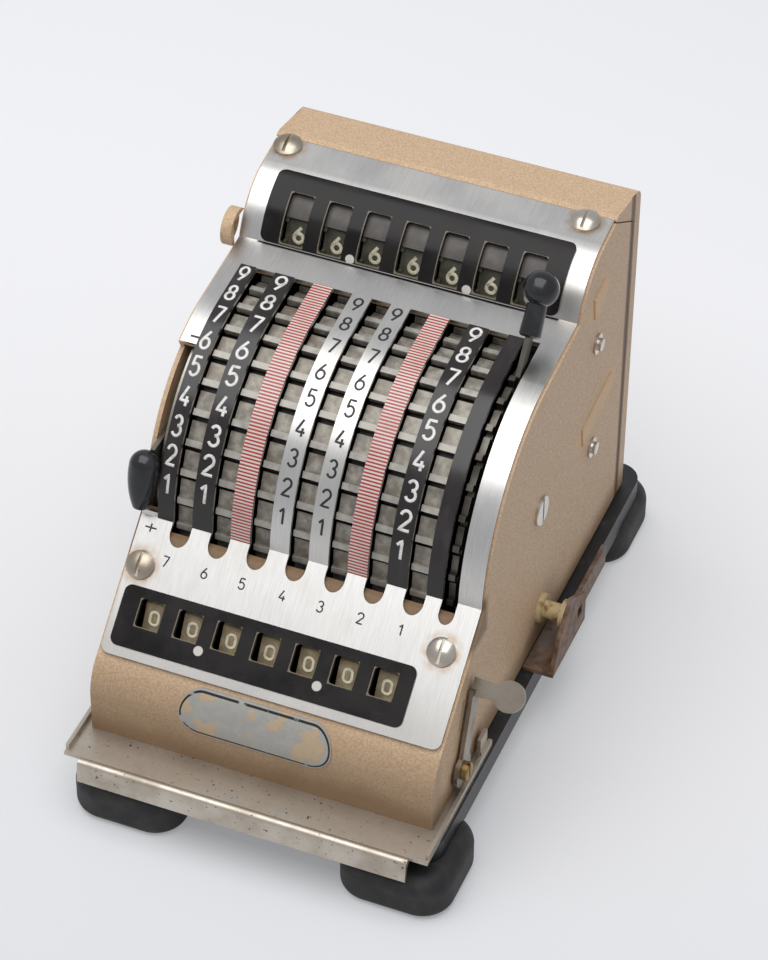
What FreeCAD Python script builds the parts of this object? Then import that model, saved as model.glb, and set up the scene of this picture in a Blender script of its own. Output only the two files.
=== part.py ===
import FreeCAD, Part
import math
import os
import re
import Sketcher
from FreeCAD import Placement, Rotation, Vector

# A desk adding machine worked with the fingers: seven toothed setting wheels on one shaft,
# each geared to a result drum above it and to a check drum below it, in a sheet-metal case.
#
# Machine axes: X to the operator's right from the middle of the case, Y to the back from the
# case's front face, Z up from the case's lower edge. Every sub-part is drawn in them and its
# Placement takes it to the model's own frame: the middle of the box that holds the machine,
# on the table it stands on.

SIZES = {
    # columns
    "column_count": 7,
    "column_pitch": 13.5,
    "columns_mid_x": -3.7,
    "slot_width": 6.8,
    "slot_foot_out": 5.7,
    "slot_top_back": 12.3,
    "lever_slot_out": 11.4,
    "lever_slot_width": 5.2,
    "opening_margin": 1.0,
    "opening_back": 2.9,
    # setting wheels
    "wheel_teeth": 34,
    "wheel_tip": 54.8,
    "ridge_rise": 1.6,
    "gap_depth": 3.5,
    "ridge_width": 2.2,
    "gap_turn": 1.8,
    "ridge_turn": 178.5,
    "slot_gap": 0.4,
    "wheel_rim": 6.0,
    "web_thick": 2.0,
    "hub_round": 8.0,
    "hub_wall": 2.0,
    "wheel_shaft_round": 4.0,
    "running_gap": 0.05,
    "end_gap": 0.3,
    "front_room": 42.9,
    "floor_room": 1.1,
    # numeral drums
    "drum_count": 10,
    "mesh_gap": 0.7,
    "ring_gap": 0.45,
    "drum_face_width": 7.0,
    "star_root": 15.0,
    "star_rise": 1.9,
    "star_tooth": 3.4,
    "star_thick": 1.2,
    "drum_hub_round": 5.0,
    "drum_shaft_round": 3.0,
    "result_drum_turn": 50.6,
    "check_drum_turn": 203.4,
    "result_face_turn": 158.8,
    "check_face_turn": 147.7,
    # the face plate's side profile
    "plate_thick": 1.2,
    "plate_side_gap": 0.9,
    "plate_low_y": 6.4,
    "slope": 41.1,
    "tip_depth": 1.7,
    "panel_gap": 0.63,
    "crest_lean": 5.0,
    "hood_back": 4.55,
    "hood_drop": 4.48,
    "hood_gap": 0.21,
    "top_lean": 9.0,
    "plate_top_back": 7.4,
    "plate_corner": 3.0,
    # windows and their dark surrounds, measured up the slope or round the hood
    "check_window_shift": -1.5,
    "check_window_wide": 8.3,
    "check_window_tall": 9.2,
    "check_window_ahead": 3.5,
    "result_window_shift": 3.5,
    "result_window_wide": 8.2,
    "result_window_turn": 138.5,
    "result_window_tall": 17.0,
    "window_corner": 1.2,
    "check_mask_left_end": 6.55,
    "check_mask_right_end": 5.25,
    "check_mask_below": 12.2,
    "check_mask_above": 8.0,
    "result_mask_in": 7.8,
    "mask_thick": 0.5,
    "mask_lift": 0.1,
    "mask_corner": 2.6,
    "mask_brow_turn": 104.0,
    "mask_fold_turn": 159.0,
    "shutter_thick": 0.7,
    "shutter_gap": 0.4,
    "shutter_start_turn": 112.0,
    "shutter_end_turn": 138.0,
    # case
    "case_side_room": 19.1,
    "case_wall": 1.5,
    "front_straight": 15.0,
    "front_round": 17.0,
    "rear_room": 32.3,
    "cover_flange": 6.7,
    "seam_gap": 0.4,
    "ridge_lift": 0.4,
    "roof_fall": 4.5,
    "case_back_round": 5.0,
    "cover_gusset": 12.0,
    "lever_gap_low_turn": 174.0,
    "lever_gap_high_turn": 114.5,
    "lever_gap_depth": 4.6,
    "check_well_below": 7.5,
    "check_well_above": 12.0,
    "hood_well_inset": 4.0,
    "hood_well_start_turn": 110.0,
    "hood_well_end_turn": 161.0,
    # pressed beads and the lever's slot in the right wall
    "bead_proud": 0.5,
    "upper_bead_long": 11.0,
    "upper_bead_wide": 9.0,
    "upper_bead_lean": 8.0,
    "upper_bead_back": -5.3,
    "upper_bead_up": 5.1,
    "lower_bead_long": 28.0,
    "lower_bead_wide": 8.0,
    "lower_bead_lean": 7.5,
    "lower_bead_back": -2.4,
    "lower_bead_up": -44.3,
    "wall_slot_ahead": 4.6,
    "wall_slot_wide": 2.2,
    "wall_slot_start": 0.58,
    "wall_slot_end": 0.94,
    # scale strips on the bars between the slots
    "strip_thick": 0.3,
    "outer_strip_wide": 5.4,
    # frame plates that carry the shafts
    "sign_arm_gap": 0.5,
    "frame_side_gap": 0.6,
    "frame_thick": 1.6,
    "frame_inset": 4.6,
    "frame_rear_gap": 4.6,
    "pin_gap": 0.05,
    # base
    "ride_height": 24.0,
    "tray_thick": 1.2,
    "tray_side_gap": 0.2,
    "tray_front_out": 5.6,
    "tray_wide_back_y": 43.0,
    "tray_side_in": 1.0,
    "tray_rear_in": 1.3,
    "tray_lip_in": 6.1,
    "tray_bead": 1.6,
    "tray_lip_drop": 7.6,
    "tray_side_lift": 2.2,
    "base_mid_x": 4.0,
    "base_side_out": 0.4,
    "base_front_y": -8.0,
    "base_rear_out": 10.7,
    "base_low_z": -10.0,
    "base_wall": 3.0,
    "base_corner": 8.0,
    "foot_side_out": 6.0,
    "foot_rear_side_out": 2.6,
    "foot_front_out": 9.3,
    "foot_rear_out": 6.3,
    "foot_wide": 38.6,
    "foot_long": 37.0,
    "foot_lap": 2.0,
    "foot_corner": 11.0,
    "foot_edge": 3.5,
    "foot_crown": 6.0,
    "foot_gap": 0.1,
    "tab_in": 4.5,
    "tab_wide": 6.0,
    "tab_tall": 8.0,
    # fasteners
    "screw_head_round": 4.8,
    "screw_head_tall": 2.6,
    "screw_shank_round": 2.0,
    "screw_slot_wide": 1.1,
    "screw_slot_deep": 1.2,
    "screw_left_in": 5.7,
    "screw_right_in": 9.3,
    "screw_low_up": 30.2,
    "screw_top_in": 3.4,
    "hole_gap": 0.15,
    "edge_break": 0.3,
    # badge on the front
    "badge_mid_x": -2.0,
    "badge_long": 53.0,
    "badge_low_z": 12.5,
    "badge_tall": 15.1,
    "badge_thick": 0.4,
    # result-clearing lever
    "clear_wheel_width": 2.2,
    "arm_thick": 1.6,
    "arm_width": 4.4,
    "arm_lean": 52.0,
    "ball_back": 15.2,
    "ball_rise": 20.8,
    "ball_round": 5.9,
    "neck_round": 3.6,
    "neck_edge": 0.7,
    "neck_long": 15.6,
    "neck_bore": 6.0,
    # plus-minus lever
    "sign_arm_thick": 1.5,
    "sign_arm_wide": 6.0,
    "sign_arm_over": 6.69,
    "sign_arm_elbow": -27.7,
    "sign_arm_short": 7.4,
    "sign_knob_in": 1.2,
    "sign_knob_turn": 162.5,
    "sign_knob_rise": 1.4,
    "sign_knob_long": 21.0,
    "sign_knob_round": 5.0,
    "sign_knob_flat": 1.0,
    # check-clearing lever
    "thumb_pivot_y": 21.0,
    "thumb_pivot_z": 8.5,
    "thumb_collar_thick": 0.9,
    "thumb_arm_thick": 1.4,
    "thumb_arm_wide": 6.4,
    "thumb_run": 10.0,
    "thumb_rise": 28.0,
    "thumb_tilt": 45.0,
    "thumb_neck_wide": 4.0,
    "thumb_reach": 13.4,
    "thumb_disc_round": 5.2,
    "thumb_hub_round": 6.0,
    "thumb_screw_round": 1.8,
    "thumb_screw_head": 3.2,
    "thumb_screw_proud": 2.0,
    "thumb_slot_wide": 0.8,
    # spool and bracket on the right side
    "spool_back": 16.1,
    "spool_z": 13.2,
    "spool_long": 9.4,
    "spool_flange": 5.0,
    "spool_flange_thick": 1.6,
    "spool_core": 3.0,
    "spool_pin_round": 1.5,
    "bracket_thick": 1.6,
    "bracket_inset": 0.4,
    "bracket_front_y": 80.0,
    "bracket_long": 31.0,
    "bracket_nose": 6.0,
    "bracket_shoulder_z": 11.0,
    "bracket_peak": 17.0,
    "bracket_peak_z": 20.0,
    "bracket_strap_long": 49.0,
    "bracket_strap_drop": 7.0,
    "bracket_hole_back": 25.0,
    "bracket_hole_z": 7.5,
    "bracket_hole_wide": 4.0,
    # plain details on the outside
    "stud_round": 2.2,
    "stud_collar_round": 3.6,
    "stud_proud": 2.4,
    "stud_ahead": 6.0,
    "stud_high_drop": 13.3,
    "stud_low_drop": 8.3,
    "side_screw_ahead": 6.2,
    "side_screw_up": 4.6,
    "side_screw_round": 5.2,
    "side_screw_proud": 1.2,
    "clip_ahead": 24.0,
    "clip_up": 11.6,
    "clip_out": 3.8,
    "clip_round": 6.5,
    "clip_thick": 1.2,
    "clip_lip_y": 3.6,
    "clip_lip_z": 4.5,
}

# What seats on, passes through or lines up with another piece follows from the sizes above.
FITS = {
    "slot_first": "columns_mid_x - column_pitch * (column_count - 1) / 2",
    "slot_last": "slot_first + column_pitch * (column_count - 1)",
    "lever_slot_x": "slot_last + lever_slot_out",
    "check_window_first": "slot_first + check_window_shift",
    "result_window_first": "slot_first + result_window_shift",
    "outer_strip_left": "slot_first - slot_width / 2 - outer_strip_wide",
    # wheels and drums
    "wheel_land": "wheel_tip - ridge_rise",
    "wheel_root": "wheel_tip - gap_depth",
    "wheel_width": "slot_width - 2 * slot_gap",
    "wheel_y": "wheel_tip + front_room",
    "wheel_z": "wheel_tip + floor_room",
    "star_tip": "star_root + star_rise",
    "drum_centre": "wheel_tip + star_root + mesh_gap",
    "drum_corner": "star_root + mesh_gap - ring_gap",
    # face
    "plate_round": "wheel_tip + tip_depth",
    "panel_off": "drum_centre * sin(check_drum_turn - slope) + star_tip + plate_thick + panel_gap",
    "bend_turn": "180 + slope - asin(panel_off / plate_round) / 1 deg",
    "hood_y": "wheel_y + drum_centre * cos(result_drum_turn) + hood_back",
    "hood_z": "wheel_z + drum_centre * sin(result_drum_turn) - hood_drop",
    "hood_round": "star_tip + sqrt(hood_back^2 + hood_drop^2) + plate_thick + case_wall + hood_gap",
    "plate_top_y": "hood_y + plate_top_back",
    "slot_low_y": "wheel_y - plate_round - slot_foot_out",
    "slot_top_y": "wheel_y + slot_top_back",
    "shutter_round": "hood_round - plate_thick - shutter_gap",
    # case and frame
    "case_half": "column_pitch * (column_count - 1) / 2 + case_side_room",
    "plate_half": "case_half - plate_side_gap",
    "case_depth": "hood_y + rear_room",
    "case_seam_y": "case_depth - cover_flange",
    "case_ridge_z": "hood_z + hood_round / cos(top_lean) + plate_top_back * tan(top_lean) + ridge_lift",
    "sign_arm_left": "-(case_half - case_wall - sign_arm_gap)",
    "frame_outer": "case_half - case_wall - sign_arm_gap - sign_arm_thick - frame_side_gap",
    "frame_inner": "frame_outer - frame_thick",
    "frame_back_y": "case_seam_y - frame_rear_gap",
    # fasteners
    "screw_shank_long": "frame_inset - end_gap",
    "screw_left_x": "-(case_half - screw_left_in)",
    "screw_right_x": "case_half - screw_right_in",
    "screw_top_y": "plate_top_y - screw_top_in",
    "stud_y": "hood_y - stud_ahead",
    "stud_high_z": "hood_z - stud_high_drop",
    "stud_low_z": "wheel_z - stud_low_drop",
    "side_screw_y": "wheel_y - side_screw_ahead",
    "side_screw_z": "wheel_z + side_screw_up",
    # levers
    "clear_wheel_left": "lever_slot_x - (clear_wheel_width + arm_thick) / 2",
    "ball_y": "wheel_y + ball_back",
    "ball_z": "wheel_z + plate_round + ball_rise",
    "sign_knob_out": "plate_round + sign_knob_rise",
    "sign_arm_rise": "sign_knob_out * sin(sign_knob_turn) + sign_arm_over",
    "sign_arm_tip": "-(sign_knob_out - sign_arm_short)",
    "thumb_left": "case_half + thumb_collar_thick",
    "thumb_top_y": "thumb_pivot_y + thumb_run",
    "thumb_top_z": "thumb_pivot_z + thumb_rise",
    "thumb_disc_x": "case_half + thumb_reach",
    # spool, bracket and base
    "spool_y": "bracket_front_y + spool_back",
    "bracket_back_y": "bracket_front_y + bracket_long",
    "tray_half": "thumb_left + thumb_arm_thick + tray_side_gap + tray_thick",
    "tray_narrow_half": "case_half - tray_side_in",
    "tray_lip_half": "tray_half - tray_lip_in",
    "tray_front_y": "base_front_y - tray_front_out",
    "tray_back_y": "case_depth - tray_rear_in",
    "base_half": "case_half + base_side_out",
    "base_back_y": "case_depth + base_rear_out",
    "foot_half": "base_half + foot_side_out",
    "foot_rear_half": "base_half + foot_rear_side_out",
    "foot_front_y": "base_front_y - foot_front_out",
    "foot_back_y": "base_back_y + foot_rear_out",
    "foot_top_z": "base_low_z + foot_lap",
    # the model's frame is the middle of the box round the machine, on the table
    "origin_x": "(thumb_reach + thumb_disc_round - clip_out) / 2",
    "origin_y": "(foot_front_y + foot_back_y) / 2",
}

doc = FreeCAD.newDocument("adding_machine")
sheet = doc.addObject("Spreadsheet::Sheet", "sizes")
for row, name in enumerate([*SIZES, *FITS], start=1):
    sheet.set(f"A{row}", name)
    sheet.setAlias(f"B{row}", name)
for row, number in enumerate(SIZES.values(), start=1):
    sheet.set(f"B{row}", str(number))
for row, formula in enumerate(FITS.values(), start=len(SIZES) + 1):
    sheet.set(f"B{row}", f"={formula}")
doc.recompute()


# --- formulas -----------------------------------------------------------------------------

def scoped(text):
    """Point a formula's size names at the sheet."""
    known = {*SIZES, *FITS}
    return re.sub(r"[a-z_]+", lambda m: f"sizes.{m[0]}" if m[0] in known else m[0], text)


def value(text):
    """A formula's number, for the places where Part needs one."""
    return float(sheet.evalExpression(text))


def bind(thing, path, text):
    thing.setExpression(path, scoped(text))


def turned(centre_y, centre_z, reach, turn):
    """The point at a distance and an angle from a centre, in the side view."""
    return f"({centre_y} + ({reach}) * cos({turn}))", f"({centre_z} + ({reach}) * sin({turn}))"


def on_slope(up, depth="0"):
    """The point a distance up the sloping panel from its lower edge, and so deep in it."""
    low_y, low_z = skin_low("0")
    return (
        f"({low_y} + ({up}) * cos(slope) + ({depth}) * sin(slope))",
        f"({low_z} + ({up}) * sin(slope) - ({depth}) * cos(slope))",
    )


# The side profile of the face: a sloping panel, the drum's round, a short flat and the hood.
# Each corner is worked out at a depth below the plate's outer face, so the plate, the case
# under it and the frame plates inside it all follow the same lines.

FLAT_OFF = "((hood_z - wheel_z) * cos(crest_lean) - (hood_y - wheel_y) * sin(crest_lean))"


def skin_bend(depth):
    off = f"(panel_off - ({depth}))"
    along = f"sqrt((plate_round - ({depth}))^2 - {off}^2)"
    return (
        f"(wheel_y - {off} * sin(slope) - {along} * cos(slope))",
        f"(wheel_z + {off} * cos(slope) - {along} * sin(slope))",
    )


def skin_low(depth):
    outer_y, outer_z = skin_bend("0")
    low_z = f"({outer_z} - ({outer_y} - plate_low_y) * tan(slope))"
    return f"(plate_low_y + ({depth}) * sin(slope))", f"({low_z} - ({depth}) * cos(slope))"


def skin_crest(depth):
    reach = f"(plate_round - ({depth}))"
    return f"(wheel_y - {reach} * sin(crest_lean))", f"(wheel_z + {reach} * cos(crest_lean))"


def skin_flat_z(y, depth):
    """Height of the short flat between the drum's round and the hood."""
    crest_z = f"(plate_round - ({depth})) / cos(crest_lean)"
    return f"(wheel_z + {crest_z} + (({y}) - wheel_y) * tan(crest_lean))"


def skin_fold(depth):
    off = f"(plate_round - ({depth}) - {FLAT_OFF})"
    along = f"sqrt((hood_round - ({depth}))^2 - {off}^2)"
    return (
        f"(hood_y - {off} * sin(crest_lean) - {along} * cos(crest_lean))",
        f"(hood_z + {off} * cos(crest_lean) - {along} * sin(crest_lean))",
    )


def skin_brow(depth):
    reach = f"(hood_round - ({depth}))"
    return f"(hood_y - {reach} * sin(top_lean))", f"(hood_z + {reach} * cos(top_lean))"


def skin_top(depth, y="plate_top_y"):
    brow_z = f"(hood_round - ({depth})) / cos(top_lean)"
    return y, f"(hood_z + {brow_z} + ({y} - hood_y) * tan(top_lean))"


def skin_up(depth):
    """The face's corners from its lower edge to its top edge, with the rounds between them."""
    return [
        skin_low(depth),
        skin_bend(depth),
        skin_crest(depth) + (f"(plate_round - ({depth}))", LEFT),
        skin_fold(depth),
        skin_brow(depth) + (f"(hood_round - ({depth}))", LEFT),
        skin_top(depth),
    ]


def skin_down(depth):
    """The same corners from top to bottom."""
    return [
        skin_top(depth),
        skin_brow(depth),
        skin_fold(depth) + (f"(hood_round - ({depth}))", RIGHT),
        skin_crest(depth),
        skin_bend(depth) + (f"(plate_round - ({depth}))", RIGHT),
        skin_low(depth),
    ]


# An arc bows to the left or to the right of the way from its first end to its second.
LEFT = 1
RIGHT = -1

# Edges are told apart by their place to this many millimetres.
FINE = 0.001


# --- bodies, sketches and features --------------------------------------------------------

def new_body(label):
    body = doc.addObject("PartDesign::Body", label)
    body.Label = label
    return body


def origin_feature(body, role):
    return next(f for f in body.Origin.OriginFeatures if f.Role == role)


def new_sketch(body, role, lift="0", tilt=None):
    """A sketch on a body's own origin plane, lifted along its normal and tilted about its X."""
    sketch = body.newObject("Sketcher::SketchObject", f"{body.Name}_sketch")
    sketch.AttachmentSupport = [(origin_feature(body, role), "")]
    sketch.MapMode = "FlatFace"
    if tilt is None:
        bind(sketch, ".AttachmentOffset.Base.z", lift)
        return sketch
    base_x, base_y, base_z, angle = tilt
    sketch.AttachmentOffset = Placement(Vector(), Rotation(Vector(1, 0, 0), value(angle)))
    bind(sketch, ".AttachmentOffset.Base.x", base_x)
    bind(sketch, ".AttachmentOffset.Base.y", base_y)
    bind(sketch, ".AttachmentOffset.Base.z", base_z)
    bind(sketch, ".AttachmentOffset.Rotation.Angle", angle)
    return sketch


def hold(sketch, kind, where, text):
    """Add a dimension to a sketch and bind it to a formula."""
    spot = sketch.addConstraint(Sketcher.Constraint(kind, *where, value(text)))
    bind(sketch, f"Constraints[{spot}]", text)


def arc_between(start, end, radius, side):
    """The arc between two points, as the counter-clockwise curve that a sketch wants."""
    chord = end - start
    across = Vector(-chord.y, chord.x, 0).normalize()
    back = math.sqrt(radius**2 - (chord.Length / 2) ** 2)
    centre = (start + end) * 0.5 - across * back * side
    first, last = (start, end) if side == RIGHT else (end, start)
    turns = [math.atan2(spot.y - centre.y, spot.x - centre.x) for spot in (first, last)]
    if turns[1] < turns[0]:
        turns[1] += 2 * math.pi
    return Part.ArcOfCircle(Part.Circle(centre, Vector(0, 0, 1), radius), *turns)


def outline(sketch, path):
    """Draw a closed loop. A corner is (u, v), or (u, v, radius, side) at the end of an arc."""
    spots = [Vector(value(corner[0]), value(corner[1]), 0) for corner in path]
    ends = []
    for number, corner in enumerate(path):
        start, end = spots[number - 1], spots[number]
        backward = len(corner) > 2 and corner[3] == LEFT
        if len(corner) > 2:
            shape = arc_between(start, end, value(corner[2]), corner[3])
        else:
            shape = Part.LineSegment(start, end)
        edge = sketch.addGeometry(shape, False)
        ends.append((edge, 2, 1) if backward else (edge, 1, 2))
    for number, corner in enumerate(path):
        edge, _, last = ends[number]
        following, first, _ = ends[(number + 1) % len(path)]
        sketch.addConstraint(Sketcher.Constraint("Coincident", edge, last, following, first))
        hold(sketch, "DistanceX", (edge, last), corner[0])
        hold(sketch, "DistanceY", (edge, last), corner[1])
        if len(corner) > 2:
            hold(sketch, "Radius", (edge,), corner[2])
    return sketch


def circle(sketch, across, up, radius):
    """Draw a circle held by its centre and radius."""
    spot = Vector(value(across), value(up), 0)
    ring = sketch.addGeometry(Part.Circle(spot, Vector(0, 0, 1), value(radius)), False)
    hold(sketch, "DistanceX", (ring, 3), across)
    hold(sketch, "DistanceY", (ring, 3), up)
    hold(sketch, "Radius", (ring,), radius)
    return sketch


def rounded(left, low, right, high, corner):
    """A rectangle with round corners, as an outline."""
    return [
        (f"{right} - ({corner})", low),
        (right, f"{low} + ({corner})", corner, RIGHT),
        (right, f"{high} - ({corner})"),
        (f"{right} - ({corner})", high, corner, RIGHT),
        (f"{left} + ({corner})", high),
        (left, f"{high} - ({corner})", corner, RIGHT),
        (left, f"{low} + ({corner})"),
        (f"{left} + ({corner})", low, corner, RIGHT),
    ]


def feature(body, kind, sketch, **settings):
    made = body.newObject(f"PartDesign::{kind}", f"{body.Name}_{kind.lower()}")
    made.Profile = sketch
    for key, setting in settings.items():
        setattr(made, key, setting)
    return made


def pad(body, sketch, length):
    made = feature(body, "Pad", sketch)
    bind(made, "Length", length)
    return made


def pocket(body, sketch, depth, reverse=False):
    made = feature(body, "Pocket", sketch, Reversed=reverse)
    bind(made, "Length", depth)
    return made


def round_edges(body, radius, chosen):
    """Fillet those edges of a body that a test picks."""
    doc.recompute()
    base = body.Tip
    picked = [f"Edge{n}" for n, edge in enumerate(base.Shape.Edges, start=1) if chosen(edge)]
    rounding = body.newObject("PartDesign::Fillet", f"{body.Name}_rounding")
    rounding.Base = (base, picked)
    bind(rounding, "Radius", radius)


def across_sheet(edge, half, thick):
    """Whether an edge runs through a sheet at one of its two ends in X."""
    size = edge.BoundBox
    at_end = size.XLength < FINE and abs(abs(size.Center.x - half[1]) - half[0]) < FINE
    return at_end and abs(edge.Length - thick) < FINE


def spin(body, kind, sketch, axis="X_Axis"):
    """A full turn of a half profile: kind is Revolution or Groove."""
    return feature(body, kind, sketch, ReferenceAxis=(origin_feature(body, axis), [""]), Angle=360.0)


def around(body, original, count, axis="X_Axis"):
    made = body.newObject("PartDesign::PolarPattern", f"{body.Name}_polar")
    made.Originals = [original]
    made.Axis = (origin_feature(body, axis), [""])
    made.Angle = 360.0
    bind(made, "Occurrences", count)
    body.Tip = made
    return made


def along_columns(body, original):
    """Repeat a feature once for each column."""
    made = body.newObject("PartDesign::LinearPattern", f"{body.Name}_linear")
    made.Originals = [original]
    made.Direction = (origin_feature(body, "X_Axis"), [""])
    bind(made, "Length", "column_pitch * (column_count - 1)")
    bind(made, "Occurrences", "column_count")
    body.Tip = made
    return made


def box(label, corner, size):
    made = doc.addObject("Part::Box", label)
    for name, text in zip(("Length", "Width", "Height"), size):
        bind(made, name, text)
    for name, text in zip("xyz", corner):
        bind(made, f".Placement.Base.{name}", text)
    return made


def rod(label, radius, length):
    """A cylinder along X."""
    made = doc.addObject("Part::Cylinder", label)
    made.Placement = Placement(Vector(), Rotation(Vector(0, 1, 0), 90))
    bind(made, "Radius", radius)
    bind(made, "Height", length)
    return made


def cut(label, base, tool):
    made = doc.addObject("Part::Cut", label)
    made.Base = base
    made.Tool = tool
    return made


def joined(label, kind, shapes):
    """Several shapes as one object: kind is MultiFuse, MultiCommon or Compound."""
    made = doc.addObject(f"Part::{kind}", label)
    made.Label = label
    setattr(made, "Links" if kind == "Compound" else "Shapes", shapes)
    return made


NODES = []


def node(thing, x="0", y="0", z="0"):
    """Take a finished sub-part from machine axes to the model's frame, and list it."""
    bind(thing, ".Placement.Base.x", f"({x}) - origin_x")
    bind(thing, ".Placement.Base.y", f"({y}) - origin_y")
    bind(thing, ".Placement.Base.z", f"({z}) + ride_height")
    NODES.append(thing)
    return thing


def place(thing, x, y, z, axis=None, angle=None):
    """Set a piece of a group in machine axes."""
    if axis is not None:
        thing.Placement = Placement(Vector(), Rotation(axis, value(angle)))
        bind(thing, ".Placement.Rotation.Angle", angle)
    for name, text in zip("xyz", (x, y, z)):
        bind(thing, f".Placement.Base.{name}", text)
    return thing


def column_x(first, index):
    return f"({first} + {index} * column_pitch)"


COLUMNS = range(SIZES["column_count"])


def column_name(stem, index):
    """Columns are numbered from the right, units first."""
    return f"{stem}_{SIZES['column_count'] - index}"


# --- case ---------------------------------------------------------------------------------

CASE_DEPTH = "plate_thick"
CASE_INSIDE = "(plate_thick + case_wall)"
SCREW_HOLE = "(screw_shank_round + hole_gap)"


def screw_spots():
    """Middle of each face screw on the plate, with the lean of the plate there."""
    spots = ((*on_slope("screw_low_up"), "slope"), (*skin_top("0", "screw_top_y"), "top_lean"))
    return [(x, *spot) for x in ("screw_left_x", "screw_right_x") for spot in spots]


def screw_holes(body):
    """Holes square to the plate for the four face screws."""
    out = "(plate_thick * 2)"
    for x, y, z, lean in screw_spots():
        tilt = (x, f"{y} - {out} * sin({lean})", f"{z} + {out} * cos({lean})", lean)
        sketch = new_sketch(body, "XY_Plane", tilt=tilt)
        circle(sketch, "0", "0", SCREW_HOLE)
        pocket(body, sketch, f"{out} + screw_shank_long + hole_gap")


WINDOW_DEPTH = "(3 * plate_thick)"


def window_cutter(body, first, wide, tall, middle, turn, depth):
    """One window of a row, cut square to the face it is in. middle is the window's centre."""
    y, z = middle
    tilt = ("0", f"{y} - ({depth}) * sin({turn})", f"{z} + ({depth}) * cos({turn})", turn)
    sketch = new_sketch(body, "XY_Plane", tilt=tilt)
    left = f"({first} - {wide} / 2)"
    right = f"({first} + {wide} / 2)"
    outline(sketch, rounded(left, f"(-{tall} / 2)", right, f"({tall} / 2)", "window_corner"))
    return pocket(body, sketch, f"2 * ({depth})")


def check_window_up():
    """How far up the slope the check windows' middles lie, a little ahead of the drums."""
    low_y, low_z = skin_low("0")
    drum_y, drum_z = drum_middle("check_drum_turn")
    return f"(({drum_y} - {low_y}) * cos(slope) + ({drum_z} - {low_z}) * sin(slope) - check_window_ahead)"


def check_windows(body):
    size = ("check_window_wide", "check_window_tall")
    middle = on_slope(check_window_up())
    cutter = window_cutter(body, "check_window_first", *size, middle, "slope", WINDOW_DEPTH)
    along_columns(body, cutter)


def result_windows(body):
    size = ("result_window_wide", "result_window_tall")
    middle = turned("hood_y", "hood_z", "hood_round", "result_window_turn")
    lean = "(result_window_turn - 90)"
    along_columns(body, window_cutter(body, "result_window_first", *size, middle, lean, WINDOW_DEPTH))


def housing():
    """Front, roof and side walls in one folded and welded sheet, open below and behind."""
    body = new_body("housing")
    profile = [("0", "0"), ("0", "front_straight"), skin_low(CASE_DEPTH) + ("front_round", LEFT)]
    profile += skin_up(CASE_DEPTH)[1:]
    seam = "(case_seam_y - seam_gap)"
    profile += [(seam, f"({skin_top(CASE_DEPTH)[1]} - cover_gusset)"), (seam, "0")]
    sheet_out = new_sketch(body, "YZ_Plane", "-case_half")
    outline(sheet_out, profile)
    pad(body, sheet_out, "2 * case_half")

    hollow = [("case_wall", "-case_wall"), ("case_wall", "front_straight")]
    hollow += [skin_low(CASE_INSIDE) + ("front_round - case_wall", LEFT)]
    hollow += skin_up(CASE_INSIDE)[1:]
    back = "(case_seam_y + case_wall)"
    hollow += [(back, skin_top(CASE_INSIDE)[1]), (back, "-case_wall")]
    inside = new_sketch(body, "YZ_Plane", "-(case_half - case_wall)")
    outline(inside, hollow)
    pocket(body, inside, "2 * (case_half - case_wall)", reverse=True)

    wheel_well = new_sketch(body, "XY_Plane", "hood_z + hood_round")
    left = "(slot_first - slot_width / 2 - opening_margin)"
    right = "(lever_slot_x + lever_slot_width / 2 + opening_margin)"
    low_y, high_y = "(slot_low_y + opening_back)", "(slot_top_y + opening_margin)"
    outline(wheel_well, rounded(left, low_y, right, high_y, "window_corner"))
    pocket(body, wheel_well, "hood_z + hood_round - wheel_z")

    well_middle = on_slope(f"{check_window_up()} + (check_well_above - check_well_below) / 2")
    well_tall = "(check_well_above + check_well_below)"
    row_middle = "(check_window_first + column_pitch * (column_count - 1) / 2)"
    row_wide = "(column_pitch * column_count)"
    window_cutter(body, row_middle, row_wide, well_tall, well_middle, "slope", "(3 * case_wall)")
    hood_well = new_sketch(body, "YZ_Plane", "-(case_half - hood_well_inset)")
    outline(hood_well, hood_sector(f"(hood_round - {CASE_INSIDE} - case_wall)", "(hood_round + 1)"))
    pocket(body, hood_well, "2 * (case_half - hood_well_inset)", reverse=True)

    lever_way = new_sketch(body, "YZ_Plane", "-(case_half + 1)")
    outline(lever_way, lever_gap("lever_gap_depth"))
    pocket(body, lever_way, "case_half + 1 + outer_strip_left", reverse=True)
    screw_holes(body)
    side_holes(body)
    wall_beads(body)
    return node(body)


def hood_sector(inner, outer):
    """Side view of a piece of the hood's ring, as long as the opening over the result drums."""
    start, end = "hood_well_start_turn", "hood_well_end_turn"
    return [
        turned("hood_y", "hood_z", inner, end),
        turned("hood_y", "hood_z", outer, end),
        turned("hood_y", "hood_z", outer, start) + (outer, LEFT),
        turned("hood_y", "hood_z", inner, start),
    ]


def lever_gap(depth):
    """Side view of the gap that the plus-minus lever swings in."""
    reach = f"(plate_round - ({depth}))"
    over = "(plate_round * 1.2)"
    return [
        turned("wheel_y", "wheel_z", reach, "lever_gap_low_turn"),
        turned("wheel_y", "wheel_z", reach, "lever_gap_high_turn") + (reach, LEFT),
        turned("wheel_y", "wheel_z", over, "lever_gap_high_turn"),
        turned("wheel_y", "wheel_z", over, "lever_gap_low_turn"),
    ]


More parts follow.
